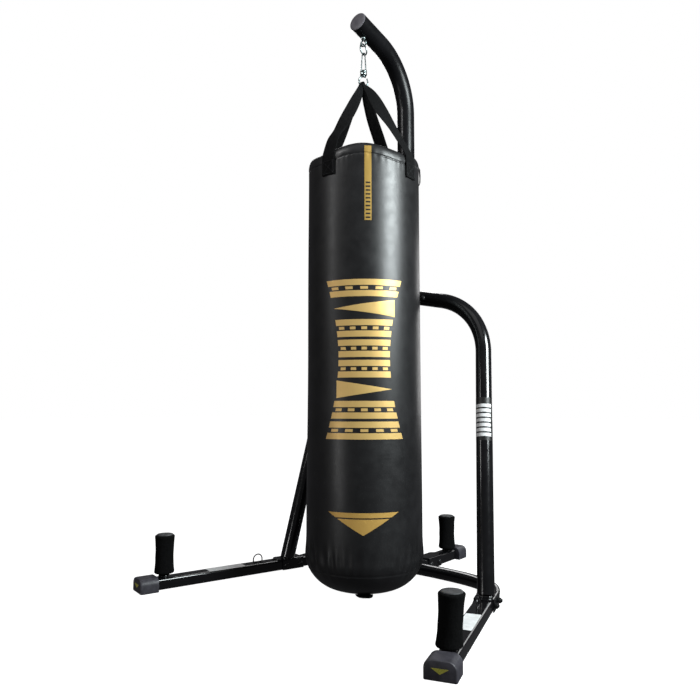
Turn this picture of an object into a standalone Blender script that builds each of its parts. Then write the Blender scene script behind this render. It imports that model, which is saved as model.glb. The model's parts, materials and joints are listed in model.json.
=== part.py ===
"""Heavy punching bag hanging from a free-standing steel frame.

Metres, +Z up. The origin is on the floor at the middle of the stand's footprint,
-Y is the front (the open side between the two front legs), +X is the right side.
"""

import math

import bmesh
import bpy
from mathutils import Matrix, Vector

# ---------------------------------------------------------------- driving dimensions
GAP = 0.0003                    # clearance between pieces that touch

# plan of the stand
BAG_Y = -0.0694                 # the bag hangs on this line
MAST_Y = BAG_Y + 0.2605         # the mast stands behind the bag
JOINT = Vector((0.3927, BAG_Y + 0.0603, 0.0))       # front leg meets upright and base
FRONT = Vector((0.5450, BAG_Y - 0.4647, 0.0))       # middle of a front cap's face
REAR_JOINT_Y = BAG_Y + 0.400

# legs
RAIL_W, RAIL_H, RAIL_R = 0.0510, 0.0340, 0.006
RAIL_WALL = 0.0020
RAIL_BOTTOM = 0.0025
RAIL_TOP = RAIL_BOTTOM + RAIL_H
CAP_W, CAP_H, CAP_L = 0.0753, 0.0450, 0.0590
CAP_TOP_R = 0.0200
CAP_FRONT_WALL = 0.0060
PEG_BACK = 0.0874               # peg axis behind the face of its foot cap
PEG_R, PEG_TOP = 0.0125, 0.1580
FLANGE_R, FLANGE_TOP = 0.0180, 0.0455
ROLLER_R, ROLLER_WAIST = 0.0315, 0.0285
ROLLER_BOTTOM, ROLLER_TOP = FLANGE_TOP + GAP, 0.1650
PLUG_R, PLUG_T = 0.0262, 0.0030

# brackets over the leg joints, by distances forward of the joint
SADDLE_REAR, SADDLE_FRONT, SADDLE_TONGUE = -0.0500, 0.0350, 0.0560
SADDLE_T = 0.0035
SADDLE_TOP = RAIL_TOP + GAP + SADDLE_T
SADDLE_HEM = 0.0025
BOLT_FRONT, BOLT_REAR = 0.0195, -0.0365
BOLT_Z = 0.0180

# fasteners
BOLT_R, HEAD_R, HEAD_H, NUT_H = 0.0050, 0.0085, 0.0055, 0.0080
HOLE_R = BOLT_R + GAP

# floor tube behind the bag: round, and pressed to the rails' section at the front joints
BASE_R, BASE_Z = 0.0203, 0.0237
BASE_SQUARE, BASE_ROUND = 0.0620, 0.1150            # where the pressing ends, behind the joint

# mast, side tubes and arm
MAST_R, MAST_WALL = 0.03175, 0.0025
TUBE_R, TUBE_WALL = 0.0254, 0.0022
BRACKET_Z = 0.9800
ELBOW = Vector((0.3037, BAG_Y + 0.2551, 0.9154))    # where the side tube's two runs meet
ELBOW_R = 0.2200
SLEEVE_R = 0.0360
MAST_SPLIT = 1.1000
ARM_BEND_Z, ARM_BEND_R = 1.6600, 0.2030
ARM_PITCH = math.radians(10.4)                      # the arm's tip still rises forward
ARM_TIP_Y = BAG_Y - 0.0320

# hanging hardware, by the heights of the wires' centres
EYE_R, EYE_WIRE, EYE_Z = 0.0105, 0.0028, 1.8215
RING_R, RING_WIRE = 0.0180, 0.0025
BAIL_WIRE, BAIL_TOP_R = 0.0020, 0.0055
YOKE_R, YOKE_TOP, YOKE_BOTTOM = 0.0115, 1.7215, 1.7065
HOOK_R, HOOK_WIRE, HOOK_Z = 0.0148, 0.0030, 1.6818
HOOK_TOP = 1.7025
GATE_R = 0.0022
HOOK_AXIS = Vector((1.0, 1.0, 0.0)).normalized()    # the hook's plane stands at 45 degrees

# bag
BAG_R, BAG_R_LOW = 0.1835, 0.1854
BAG_BOTTOM, BAG_TOP = 0.0110, 1.4000
BAG_CURVE_R, BAG_CURVE_Z = 0.1180, 0.1050          # the bottom curves in over this much
BAG_WALL = 0.0030
STRAP_W, STRAP_T = 0.0500, 0.0030

# ---------------------------------------------------------------- scene and helpers
for old in list(bpy.data.objects):
    bpy.data.objects.remove(old, do_unlink=True)

PARTS = bpy.data.collections.new("punching_bag_on_stand")
CUTTERS = bpy.data.collections.new("cutters")
for group in (PARTS, CUTTERS):
    bpy.context.scene.collection.children.link(group)


def material(name, colour, roughness, metallic=0.0):
    mat = bpy.data.materials.new(name)
    mat.use_nodes = True
    shader = mat.node_tree.nodes["Principled BSDF"]
    shader.inputs["Base Color"].default_value = (*colour, 1.0)
    shader.inputs["Roughness"].default_value = roughness
    shader.inputs["Metallic"].default_value = metallic
    return mat


BLACK_STEEL = ("black_steel", (0.012, 0.012, 0.014), 0.30, 0.0)
CAP_PLASTIC = ("cap_plastic", (0.075, 0.070, 0.085), 0.60, 0.0)
END_PLASTIC = ("end_plastic", (0.140, 0.130, 0.150), 0.55, 0.0)
FOAM = ("foam", (0.010, 0.010, 0.010), 0.95, 0.0)
ZINC = ("zinc", (0.620, 0.660, 0.660), 0.25, 1.0)
BLACK_BOLT = ("black_bolt", (0.030, 0.030, 0.032), 0.35, 0.6)
BAG_SKIN = ("bag_skin", (0.010, 0.010, 0.012), 0.38, 0.0)
WEBBING = ("webbing", (0.008, 0.008, 0.009), 0.90, 0.0)
FILLING = ("filling", (0.300, 0.270, 0.240), 0.95, 0.0)


def smooth(mesh):
    mesh.shade_smooth()
    mesh.set_sharp_from_angle(angle=math.radians(35.0))


def add(name, mesh, finish, matrix=None):
    """Link a mesh as one named part with its own material."""
    mesh.materials.clear()
    mesh.materials.append(material(name + "_" + finish[0], *finish[1:]))
    obj = bpy.data.objects.new(name, mesh)
    PARTS.objects.link(obj)
    if matrix is not None:
        obj.matrix_world = matrix
    return obj


def boolean(obj, mesh, matrix, operation="DIFFERENCE"):
    """Cut a part with a mesh, or weld the mesh to it."""
    tool = bpy.data.objects.new(obj.name + "_tool", mesh)
    CUTTERS.objects.link(tool)
    tool.matrix_world = matrix
    tool.hide_render = True
    tool.display_type = "WIRE"
    mod = obj.modifiers.new(operation.lower(), "BOOLEAN")
    mod.operation = operation
    mod.solver = "EXACT"
    mod.object = tool


def mesh_of(obj):
    """Evaluate an object to a clean mesh and remove the object."""
    bpy.context.view_layer.update()
    graph = bpy.context.evaluated_depsgraph_get()
    mesh = bpy.data.meshes.new_from_object(obj.evaluated_get(graph))
    mesh.transform(obj.matrix_world)
    bpy.data.objects.remove(obj, do_unlink=True)
    bm = bmesh.new()
    bm.from_mesh(mesh)
    bmesh.ops.remove_doubles(bm, verts=bm.verts, dist=0.00001)
    bm.to_mesh(mesh)
    bm.free()
    return mesh


def cylinder_mesh(radius, length, sides=12):
    """A cylinder round Z, centred on its middle."""
    bm = bmesh.new()
    bmesh.ops.create_cone(bm, cap_ends=True, segments=sides, radius1=radius, radius2=radius,
                          depth=length)
    mesh = bpy.data.meshes.new("cylinder")
    bm.to_mesh(mesh)
    bm.free()
    return mesh


def box_mesh(size):
    bm = bmesh.new()
    bmesh.ops.create_cube(bm, size=1.0)
    bmesh.ops.scale(bm, vec=Vector(size), verts=bm.verts)
    mesh = bpy.data.meshes.new("box")
    bm.to_mesh(mesh)
    bm.free()
    return mesh


def curve_object(name, points, radius, sides=8, caps=True, cyclic=False):
    """A round bar along a list of points."""
    data = bpy.data.curves.new(name, "CURVE")
    data.dimensions = "3D"
    data.bevel_depth = radius
    data.bevel_resolution = (sides - 4) // 2
    data.use_fill_caps = caps and not cyclic
    spline = data.splines.new("POLY")
    spline.points.add(len(points) - 1)
    for target, source in zip(spline.points, points):
        target.co = (*source, 1.0)
    spline.use_cyclic_u = cyclic
    obj = bpy.data.objects.new(name, data)
    PARTS.objects.link(obj)
    return obj


def bar(name, points, radius, finish, **options):
    """A solid bar or wire that stays a curve."""
    obj = curve_object(name, points, radius, **options)
    obj.data.materials.append(material(name + "_" + finish[0], *finish[1:]))
    return obj


def bar_mesh(points, radius, **options):
    return mesh_of(curve_object("bar", points, radius, **options))


def hollow_tube(name, points, radius, wall, finish, sides=16):
    """An open-ended tube: the outer skin thickened inwards."""
    mesh = bar_mesh(points, radius, caps=False, sides=sides)
    smooth(mesh)
    obj = add(name, mesh, finish)
    shell = obj.modifiers.new("wall", "SOLIDIFY")
    shell.thickness = wall
    shell.offset = -1.0
    shell.use_even_offset = True
    return obj


def prism_mesh(outlines, depth):
    """Flat outlines, holes included, extruded along Z about their middle."""
    data = bpy.data.curves.new("outline", "CURVE")
    data.dimensions = "2D"
    data.fill_mode = "BOTH"
    data.extrude = depth / 2
    for outline in outlines:
        spline = data.splines.new("POLY")
        spline.points.add(len(outline) - 1)
        for target, (x, y) in zip(spline.points, outline):
            target.co = (x, y, 0.0, 1.0)
        spline.use_cyclic_u = True
    obj = bpy.data.objects.new("outline", data)
    PARTS.objects.link(obj)
    return mesh_of(obj)


def turned_mesh(profile, closed=False, steps=20):
    """A profile of (radius, z) turned round Z; its outer side runs downwards."""
    mesh = bpy.data.meshes.new("turned")
    count = len(profile)
    edges = [(i, (i + 1) % count) for i in range(count if closed else count - 1)]
    mesh.from_pydata([(r, 0.0, z) for r, z in profile], edges, [])
    obj = bpy.data.objects.new("turned", mesh)
    PARTS.objects.link(obj)
    screw = obj.modifiers.new("turn", "SCREW")
    screw.steps = steps
    screw.render_steps = steps
    screw.use_merge_vertices = True
    screw.merge_threshold = 0.00001
    turned = mesh_of(obj)
    smooth(turned)
    return turned


def arc(centre, radius, start, stop, steps):
    """Points (x, y) on an arc, angles in degrees."""
    points = []
    for i in range(steps + 1):
        angle = math.radians(start + (stop - start) * i / steps)
        points.append((centre[0] + radius * math.cos(angle),
                       centre[1] + radius * math.sin(angle)))
    return points


def rounded_rectangle(width, bottom, top, radius, steps=2):
    x, low, high = width / 2 - radius, bottom + radius, top - radius
    return (arc((x, low), radius, -90, 0, steps) + arc((x, high), radius, 0, 90, steps)
            + arc((-x, high), radius, 90, 180, steps) + arc((-x, low), radius, 180, 270, steps))


def fillet_path(start, corner, end, radius, steps):
    """A straight run, an arc in the corner and a second straight run."""
    back = (start - corner).normalized()
    ahead = (end - corner).normalized()
    half = back.angle(ahead) / 2
    tangent = radius / math.tan(half)
    centre = corner + (back + ahead).normalized() * radius / math.sin(half)
    first = corner + back * tangent - centre
    last = corner + ahead * tangent - centre
    sweep = first.angle(last)
    points = [start]
    for i in range(steps + 1):
        share = i / steps
        points.append(centre + (first * math.sin((1 - share) * sweep)
                                + last * math.sin(share * sweep)) / math.sin(sweep))
    return points + [end]


def along(centre, direction):
    """Matrix that stands a Z-long mesh at a centre, pointing in a direction."""
    turn = Vector(direction).normalized().to_track_quat("Z", "X").to_matrix().to_4x4()
    return Matrix.Translation(centre) @ turn


def upright_at(x, y, z=0.0):
    return Matrix.Translation((x, y, z))


def drill(obj, centre, direction, length, radius=HOLE_R, sides=12):
    boolean(obj, cylinder_mesh(radius, length, sides), along(centre, direction))


# ---------------------------------------------------------------- bolts and nuts
def bolt_mesh(grip):
    """Hex bolt along Z: the clamped parts lie between z = -grip/2 and +grip/2."""
    length = grip + NUT_H + 0.004
    obj = bpy.data.objects.new("bolt", cylinder_mesh(HEAD_R, HEAD_H, 6))
    PARTS.objects.link(obj)
    obj.matrix_world = upright_at(0, 0, -grip / 2 - GAP - HEAD_H / 2)
    shank = length + HEAD_H / 2 + GAP
    boolean(obj, cylinder_mesh(BOLT_R, shank),
            upright_at(0, 0, -grip / 2 - GAP - HEAD_H / 2 + shank / 2), "UNION")
    return mesh_of(obj)


def nut_mesh():
    outer = arc((0, 0), HEAD_R, 0, 300, 5)
    inner = arc((0, 0), HOLE_R, 0, 330, 11)
    return prism_mesh([outer, inner], NUT_H)


def fasten(prefix, suffix, centre, direction, grip):
    """One bolt with its nut; the nut sits on the side the direction points to."""
    matrix = along(centre, direction)
    add(prefix + "_bolt" + suffix, bolt_mesh(grip), BLACK_BOLT, matrix)
    add(prefix + "_nut" + suffix, nut_mesh(), BLACK_BOLT,
        matrix @ upright_at(0, 0, grip / 2 + GAP + NUT_H / 2))


# ---------------------------------------------------------------- legs
def leg_frame(joint, forward):
    """Local x across the leg, local y up, local z forward from the joint."""
    across = Vector((0, 0, 1)).cross(forward)
    rotation = Matrix((across, Vector((0, 0, 1)), forward)).transposed().to_4x4()
    return Matrix.Translation(joint) @ rotation


def rail(name, frame, length):
    outer = rounded_rectangle(RAIL_W, RAIL_BOTTOM, RAIL_TOP, RAIL_R)
    inner = rounded_rectangle(RAIL_W - 2 * RAIL_WALL, RAIL_BOTTOM + RAIL_WALL,
                              RAIL_TOP - RAIL_WALL, RAIL_R - RAIL_WALL)
    start, end = 0.001, length - CAP_FRONT_WALL - GAP
    mesh = prism_mesh([outer, inner], end - start)
    smooth(mesh)
    obj = add(name, mesh, BLACK_STEEL, frame @ upright_at(0, 0, (start + end) / 2))
    drill(obj, frame @ Vector((0, BOLT_Z, BOLT_FRONT)), frame.to_3x3().col[0], 0.10)


def foot_cap(name, frame, length):
    side, shoulder = CAP_W / 2, CAP_H - CAP_TOP_R
    outline = ([(-side, 0.0), (side, 0.0)]
               + arc((side - CAP_TOP_R, shoulder), CAP_TOP_R, 0, 90, 4)
               + arc((-side + CAP_TOP_R, shoulder), CAP_TOP_R, 90, 180, 4))
    mesh = prism_mesh([outline], CAP_L)
    smooth(mesh)
    obj = add(name, mesh, CAP_PLASTIC, frame @ upright_at(0, 0, length - CAP_L / 2))
    edge = obj.modifiers.new("edge", "BEVEL")
    edge.width = 0.0015
    edge.segments = 1
    edge.limit_method = "ANGLE"
    edge.angle_limit = math.radians(60.0)
    pocket = rounded_rectangle(RAIL_W + 2 * GAP, RAIL_BOTTOM - GAP, RAIL_TOP + GAP, RAIL_R)
    reach = CAP_L - CAP_FRONT_WALL
    boolean(obj, prism_mesh([pocket], reach + 0.01),
            frame @ upright_at(0, 0, length - CAP_L + (reach - 0.01) / 2))


def peg_set(side, frame, length, lift=0.0):
    """Weight peg, its foam roller and the plug in the roller's top."""
    foot = frame @ Vector((0, 0, length - PEG_BACK))
    place = upright_at(foot.x, foot.y)
    peg = [(0, PEG_TOP), (PEG_R - 0.002, PEG_TOP), (PEG_R, PEG_TOP - 0.002), (PEG_R, FLANGE_TOP),
           (FLANGE_R, FLANGE_TOP), (FLANGE_R, RAIL_TOP + GAP), (0, RAIL_TOP + GAP)]
    add(side + "_peg", turned_mesh(peg, steps=16), BLACK_STEEL, place)
    low, high, edge = ROLLER_BOTTOM + lift, ROLLER_TOP + lift, 0.004
    skin = [(ROLLER_R - edge, high)]
    waists = 6
    for i in range(waists + 1):
        share = i / waists
        radius = ROLLER_WAIST + (ROLLER_R - ROLLER_WAIST) * (2 * share - 1) ** 2
        skin.append((radius, high - edge - (high - low - 2 * edge) * share))
    skin.append((ROLLER_R - edge, low))
    bore = PEG_R + GAP
    add(side + "_roller", turned_mesh(skin + [(bore, low), (bore, high)], closed=True, steps=18),
        FOAM, place)
    stem = bore - GAP
    plug = [(0, high + PLUG_T), (PLUG_R - 0.0015, high + PLUG_T), (PLUG_R, high + 0.0018),
            (PLUG_R, high + GAP), (stem, high + GAP), (stem, high - 0.0065), (0, high - 0.0065)]
    add(side + "_peg_plug", turned_mesh(plug, steps=18), CAP_PLASTIC, place)


def saddle(side, frame, nut_side):
    """Folded plate over the joint with a round tongue in front, and two bolts across it."""
    inner = RAIL_W / 2 + GAP
    outer = inner + SADDLE_T
    top = RAIL_TOP + GAP
    corner = 0.004
    length = SADDLE_FRONT - SADDLE_REAR
    outline = ([(outer, SADDLE_HEM)] + arc((outer - corner, SADDLE_TOP - corner), corner, 0, 90, 2)
               + arc((-outer + corner, SADDLE_TOP - corner), corner, 90, 180, 2)
               + [(-outer, SADDLE_HEM), (-inner, SADDLE_HEM), (-inner, top), (inner, top),
                  (inner, SADDLE_HEM)])
    obj = add(side + "_saddle", prism_mesh([outline], length), BLACK_STEEL,
              frame @ upright_at(0, 0, (SADDLE_FRONT + SADDLE_REAR) / 2))
    root = SADDLE_FRONT - 0.004
    reach = SADDLE_TONGUE - SADDLE_FRONT
    tongue = [(-outer + corner, root)]
    tongue += [(x * (outer - corner), SADDLE_FRONT + y * reach) for x, y in arc((0, 0), 1, 180, 0, 8)]
    tongue += [(outer - corner, root)]
    flat = Matrix(((1, 0, 0, 0), (0, 0, 1, (top + SADDLE_TOP) / 2), (0, 1, 0, 0), (0, 0, 0, 1)))
    boolean(obj, prism_mesh([tongue[::-1]], SADDLE_T), frame @ flat, "UNION")
    for place, step in (("_front", BOLT_FRONT), ("_rear", BOLT_REAR)):
        centre = frame @ Vector((0, BOLT_Z, step))
        across = frame.to_3x3().col[0] * nut_side
        drill(obj, centre, across, 0.10)
        fasten(side + "_saddle", place, centre, across, 2 * outer)


def anchor_loop(side, frame, at):
    """Welded wire loop on top of a rail."""
    half, wire = 0.0170, 0.0020
    foot = RAIL_TOP + wire + GAP
    shape = ([(-half, foot), (0.0, foot), (half, foot)]
             + arc((0.0, foot + 0.009), half, 0, 180, 8))
    bar(side + "_anchor_loop", [frame @ Vector((0, y, at + z)) for z, y in shape], wire,
        BLACK_STEEL, cyclic=True, sides=6)


def cap_reach():
    """How far a front cap's rounded corner goes ahead of the middle of its face."""
    splay = math.atan2(FRONT.x - JOINT.x, JOINT.y - FRONT.y)
    return CAP_W / 2 * math.sin(splay)


REAR_Y = cap_reach() - FRONT.y


# ---------------------------------------------------------------- base frame
def base_section(pressed, steps=16):
    """Outline of the floor tube: a circle, or the rails' rounded section where it is pressed."""
    wide = BASE_R + (RAIL_W / 2 - BASE_R) * pressed
    high = BASE_R + (RAIL_H / 2 - BASE_R) * pressed
    power = 2 / (2 + 4 * pressed)
    outline = []
    for i in range(steps):
        across, up = math.cos(2 * math.pi * i / steps), math.sin(2 * math.pi * i / steps)
        outline.append((wide * math.copysign(abs(across) ** power, across),
                        high * math.copysign(abs(up) ** power, up)))
    return outline


def base_run(frame):
    """The floor tube's line from the right joint to the middle of the back."""
    def behind(distance, outward=0.0):
        place = frame @ Vector((outward, 0, -distance))
        return Vector((place.x, place.y, BASE_Z))

    return [behind(0.001), behind(0.030), behind(BASE_SQUARE), behind(0.090, 0.002),
            Vector((0.350, BAG_Y + 0.1855, BASE_Z)), Vector((0.262, BAG_Y + 0.2315, BASE_Z)),
            Vector((0.130, BAG_Y + 0.2540, BASE_Z)), Vector((0.0, MAST_Y, BASE_Z))]


def base_frame(frames):
    """Bent floor tube from joint to joint, with a flat-sided stub welded on for the rear leg."""
    run = base_run(frames["right"])
    run += [Vector((-p.x, p.y, p.z)) for p in reversed(run[:-1])]
    path = smooth_path(run, 4)
    bm = bmesh.new()
    rings = []
    for i, place in enumerate(path):
        ahead = (path[min(i + 1, len(path) - 1)] - path[max(i - 1, 0)]).normalized()
        across = Vector((0, 0, 1)).cross(ahead)
        behind = min((place.xy - path[0].xy).length, (place.xy - path[-1].xy).length)
        share = min(max((BASE_ROUND - behind) / (BASE_ROUND - BASE_SQUARE), 0.0), 1.0)
        pressed = share * share * (3 - 2 * share)
        drop = (BASE_Z - (RAIL_BOTTOM + RAIL_TOP) / 2) * pressed
        rings.append([bm.verts.new(place + across * x + Vector((0, 0, y - drop)))
                      for x, y in base_section(pressed)])
    for low, high in zip(rings, rings[1:]):
        for i in range(len(low)):
            j = (i + 1) % len(low)
            bm.faces.new((low[i], low[j], high[j], high[i]))
    bm.faces.new(rings[0][::-1])
    bm.faces.new(rings[-1])
    bmesh.ops.recalc_face_normals(bm, faces=bm.faces)
    mesh = bpy.data.meshes.new("base_frame")
    bm.to_mesh(mesh)
    bm.free()
    smooth(mesh)
    obj = add("base_frame", mesh, BLACK_STEEL)
    near, far = 0.001, REAR_JOINT_Y - MAST_Y - BASE_R / 2
    outline = rounded_rectangle(RAIL_W, RAIL_BOTTOM, RAIL_TOP, RAIL_R)
    boolean(obj, prism_mesh([outline], far - near),
            frames["rear"] @ upright_at(0, 0, -(far + near) / 2), "UNION")
    for frame in frames.values():
        drill(obj, frame @ Vector((0, BOLT_Z, BOLT_REAR)), frame.to_3x3().col[0], 0.10)


def smooth_path(points, steps):
    """A smooth curve through the points (Catmull-Rom)."""
    ends = [points[0] * 2 - points[1]] + points + [points[-1] * 2 - points[-2]]
    path = []
    for a, b, c, d in zip(ends, ends[1:], ends[2:], ends[3:]):
        for i in range(steps):
            t = i / steps
            path.append(0.5 * (2 * b + (c - a) * t + (2 * a - 5 * b + 4 * c - d) * t * t
                               + (3 * b - a - 3 * c + d) * t ** 3))
    return path + [points[-1]]


# ---------------------------------------------------------------- uprights, mast and arm
def tube_heading(sign):
    """Unit direction in which a side tube leaves the mast."""
    mast = Vector((0, MAST_Y, BRACKET_Z))
    return (Vector((sign * ELBOW.x, ELBOW.y, ELBOW.z)) - mast).normalized()


def side_tube(side, sign):
    mast = Vector((0, MAST_Y, BRACKET_Z))
    heading = tube_heading(sign)
    elbow = Vector((sign * ELBOW.x, ELBOW.y, ELBOW.z))
    foot = Vector((sign * JOINT.x, JOINT.y, SADDLE_TOP))
    below = foot + (foot - elbow).normalized() * 0.02
    path = fillet_path(mast + heading * 0.043, elbow, below, ELBOW_R, 8)
    obj = hollow_tube(side + "_side_tube", path, TUBE_R, TUBE_WALL, BLACK_STEEL)
    floor = SADDLE_TOP + GAP
    boolean(obj, box_mesh((0.2, 0.2, 0.1)), upright_at(foot.x, foot.y, floor - 0.05))
    pin = mast + heading * 0.085
    drill(obj, pin, (0, 1, 0), 0.10)
    fasten(side + "_tube", "", pin, (0, 1, 0), 2 * TUBE_R)


def mast_bracket():
    """Sleeve round the mast with a spigot into each side tube."""
    height = 0.100
    place = upright_at(0, MAST_Y, BRACKET_Z)
    obj = add("mast_bracket", cylinder_mesh(SLEEVE_R, height, 24), BLACK_STEEL, place)
    mast = Vector((0, MAST_Y, BRACKET_Z))
    start, end = SLEEVE_R - 0.012, 0.125
    for sign in (1, -1):
        heading = tube_heading(sign)
        boolean(obj, cylinder_mesh(TUBE_R - TUBE_WALL - 5 * GAP, end - start, 12),
                along(mast + heading * (start + end) / 2, heading), "UNION")
    boolean(obj, cylinder_mesh(MAST_R + GAP, height + 0.01, 24), place)
    for sign in (1, -1):
        drill(obj, mast + tube_heading(sign) * 0.085, (0, 1, 0), 0.10)


def mast():
    """Socket on the floor tube, lower mast, inner spigot and the curved arm."""
    plate_low, plate_high = BASE_Z + BASE_R + GAP, BASE_Z + BASE_R + GAP + 0.005
    rim = 0.1250
    bore = MAST_R + GAP
    cup = [(0, plate_high), (bore, plate_high), (bore, rim), (SLEEVE_R, rim),
           (SLEEVE_R, plate_low), (0, plate_low)]
    socket = add("mast_socket", turned_mesh(cup, steps=24), BLACK_STEEL,
                 upright_at(0, MAST_Y))
    boolean(socket, box_mesh((0.100, 0.064, 0.005)),
            upright_at(0, MAST_Y, (plate_low + plate_high) / 2), "UNION")

    foot = plate_high + GAP
    lower = hollow_tube("mast_lower", [Vector((0, MAST_Y, foot)), Vector((0, MAST_Y, MAST_SPLIT))],
                        MAST_R, MAST_WALL, BLACK_STEEL, sides=20)
    bend = arc((MAST_Y - ARM_BEND_R, ARM_BEND_Z), ARM_BEND_R, 0, 90 - math.degrees(ARM_PITCH), 9)
    last_y, last_z = bend[-1]
    tip_z = last_z + (last_y - ARM_TIP_Y) * math.tan(ARM_PITCH)
    path = [Vector((0, MAST_Y, MAST_SPLIT + GAP))]
    path += [Vector((0, y, z)) for y, z in bend + [(ARM_TIP_Y, tip_z)]]
    arm = hollow_tube("mast_arm", path, MAST_R, MAST_WALL, BLACK_STEEL, sides=20)
    drill(arm, (0, BAG_Y, tip_z - MAST_R), (0, 0, 1), 0.030, radius=HOLE_R)

    inner = MAST_R - MAST_WALL - 3 * GAP
    half = 0.080
    spigot = [(inner, MAST_SPLIT + half), (inner, MAST_SPLIT - half),
              (inner - 0.003, MAST_SPLIT - half), (inner - 0.003, MAST_SPLIT + half)]
    core = add("mast_spigot", turned_mesh(spigot, closed=True, steps=20), BLACK_STEEL,
               upright_at(0, MAST_Y))
    pin = Vector((0, MAST_Y, MAST_SPLIT + half / 2))
    for piece in (arm, core):
        drill(piece, pin, (0, 1, 0), 0.10)
    fasten("mast_joint", "", pin, (0, 1, 0), 2 * MAST_R)

    outward = Vector((0, -math.cos(ARM_PITCH), math.sin(ARM_PITCH)))
    tip = Vector((0, ARM_TIP_Y, tip_z))
    cap = [(0, 0.0032), (MAST_R - 0.0012, 0.0032), (MAST_R - 0.0002, 0.0022),
           (MAST_R - 0.0002, 2 * GAP), (inner - 0.001, 2 * GAP), (inner - 0.002, -0.012),
           (0, -0.012)]
    add("arm_end_cap", turned_mesh(cap, steps=24), END_PLASTIC, along(tip, outward))
    return tip_z


# ---------------------------------------------------------------- hanging hardware
def circle(centre, radius, across, steps=16):
    """Closed ring of points in the plane of Z and the direction across."""
    return [centre + across * radius * math.cos(2 * math.pi * i / steps)
            + Vector((0, 0, radius * math.sin(2 * math.pi * i / steps))) for i in range(steps)]


def hanging_hardware(tip_z):
    sideways, fore_aft, line = Vector((1, 0, 0)), Vector((0, 1, 0)), Vector((0, BAG_Y, 0))
    slope = (BAG_Y - ARM_TIP_Y) * math.tan(ARM_PITCH)
    underside = tip_z - slope - MAST_R / math.cos(ARM_PITCH)
    shank_top = underside + 0.014
    eye = line + Vector((0, 0, EYE_Z))
    eyebolt = add("eyebolt", bar_mesh(circle(eye, EYE_R, sideways), EYE_WIRE, cyclic=True), ZINC)
    shank_low = EYE_Z + EYE_R - 0.001
    boolean(eyebolt, cylinder_mesh(BOLT_R - 0.0005, shank_top - shank_low),
            along(line + Vector((0, 0, (shank_top + shank_low) / 2)), (0, 0, 1)), "UNION")
    nut_top = underside - 0.0022
    add("eye_nut", nut_mesh(), ZINC, upright_at(0, BAG_Y, nut_top - NUT_H / 2))

    ring_top = EYE_Z - EYE_R + EYE_WIRE + GAP + RING_WIRE
    ring = line + Vector((0, 0, ring_top - RING_R))
    bar("hanging_ring", circle(ring, RING_R, fore_aft), RING_WIRE, ZINC, cyclic=True)

    bail_top = ring.z - RING_R + RING_WIRE + GAP + BAIL_WIRE
    bend = arc((0, bail_top - BAIL_TOP_R), BAIL_TOP_R, 160, 20, 6)
    feet = YOKE_TOP - 0.003
    bail = [(-0.0090, feet)] + bend + [(0.0090, feet)]
    yoke = [(0, YOKE_TOP), (YOKE_R - 0.0015, YOKE_TOP), (YOKE_R, YOKE_TOP - 0.0015),
            (YOKE_R, YOKE_BOTTOM), (0.0045, YOKE_BOTTOM), (0.0045, YOKE_BOTTOM + 0.005),
            (0.0075, YOKE_BOTTOM + 0.005), (0.0075, YOKE_TOP - 0.004), (0, YOKE_TOP - 0.004)]
    swivel = add("swivel_yoke", turned_mesh(yoke, steps=16), ZINC, upright_at(0, BAG_Y))
    boolean(swivel, bar_mesh([line + Vector((x, 0, z)) for x, z in bail], BAIL_WIRE),
            Matrix.Identity(4), "UNION")

    bottom = arc((0, HOOK_Z), HOOK_R, -10, -180, 9)
    shoulder = [(-HOOK_R, HOOK_Z + 0.010), (-0.0105, HOOK_TOP - 0.004), (-0.005, HOOK_TOP - 0.0008),
                (0.0, HOOK_TOP), (0.0080, HOOK_TOP - 0.0020)]
    wire = [line + HOOK_AXIS * x + Vector((0, 0, z)) for x, z in bottom + shoulder]
    hook = add("snap_hook", bar_mesh(wire, HOOK_WIRE), ZINC)
    stem_low, stem_high = HOOK_TOP - 0.001, YOKE_BOTTOM + 0.0065
    button = [(0, stem_high + 0.0025), (0.0065, stem_high + 0.0025), (0.0065, stem_high),
              (0.0040, stem_high), (0.0040, stem_low), (0, stem_low)]
    boolean(hook, turned_mesh(button, steps=12), upright_at(0, BAG_Y), "UNION")

    gate = [(0.0115, HOOK_TOP - 0.0070), (HOOK_R, HOOK_Z - 0.0005)]
    bar("hook_gate", [line + HOOK_AXIS * x + Vector((0, 0, z)) for x, z in gate], GATE_R, ZINC,
        sides=6)


# ---------------------------------------------------------------- bag
def bag():
    shoulder = 0.012
    flat_r, curve_z = BAG_R_LOW - BAG_CURVE_R, BAG_BOTTOM + BAG_CURVE_Z
    lip = 0.165

    def skin(inset, crown):
        return ([(lip, crown), (BAG_R - shoulder, crown)]
                + [(BAG_R - inset, crown - shoulder), (BAG_R - inset, 0.75),
                   (BAG_R_LOW - inset, 0.30)]
                + [(flat_r + x * (BAG_CURVE_R - inset), curve_z + y * (BAG_CURVE_Z - inset))
                   for x, y in arc((0, 0), 1, 0, -90, 8)] + [(0.0, BAG_BOTTOM + inset)])

    outer = skin(0.0, BAG_TOP)
    inner = skin(BAG_WALL, BAG_TOP - BAG_WALL)
    inner[1] = (BAG_R - shoulder - 0.0012, BAG_TOP - BAG_WALL)
    place = upright_at(0, BAG_Y)
    cover = inner[::-1] + outer
    add("bag_cover", turned_mesh(cover, steps=28), BAG_SKIN, place)

    slack = BAG_WALL + 0.0006
    lid_low, lid_high = BAG_TOP - 0.0120, BAG_TOP - BAG_WALL - 0.0010
    filling = [(0.0, lid_low - 0.0008), (BAG_R - slack - 0.004, lid_low - 0.0008),
               (BAG_R - slack, lid_low - 0.006)] + skin(slack, BAG_TOP)[3:]
    add("bag_filling", turned_mesh(filling, steps=28), FILLING, place)
    lid = [(0, lid_high), (0.1660, lid_high), (0.1680, lid_high - 0.002), (0.1680, lid_low),
           (0, lid_low)]
    add("bag_lid", turned_mesh(lid, steps=28), BAG_SKIN, place)


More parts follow.
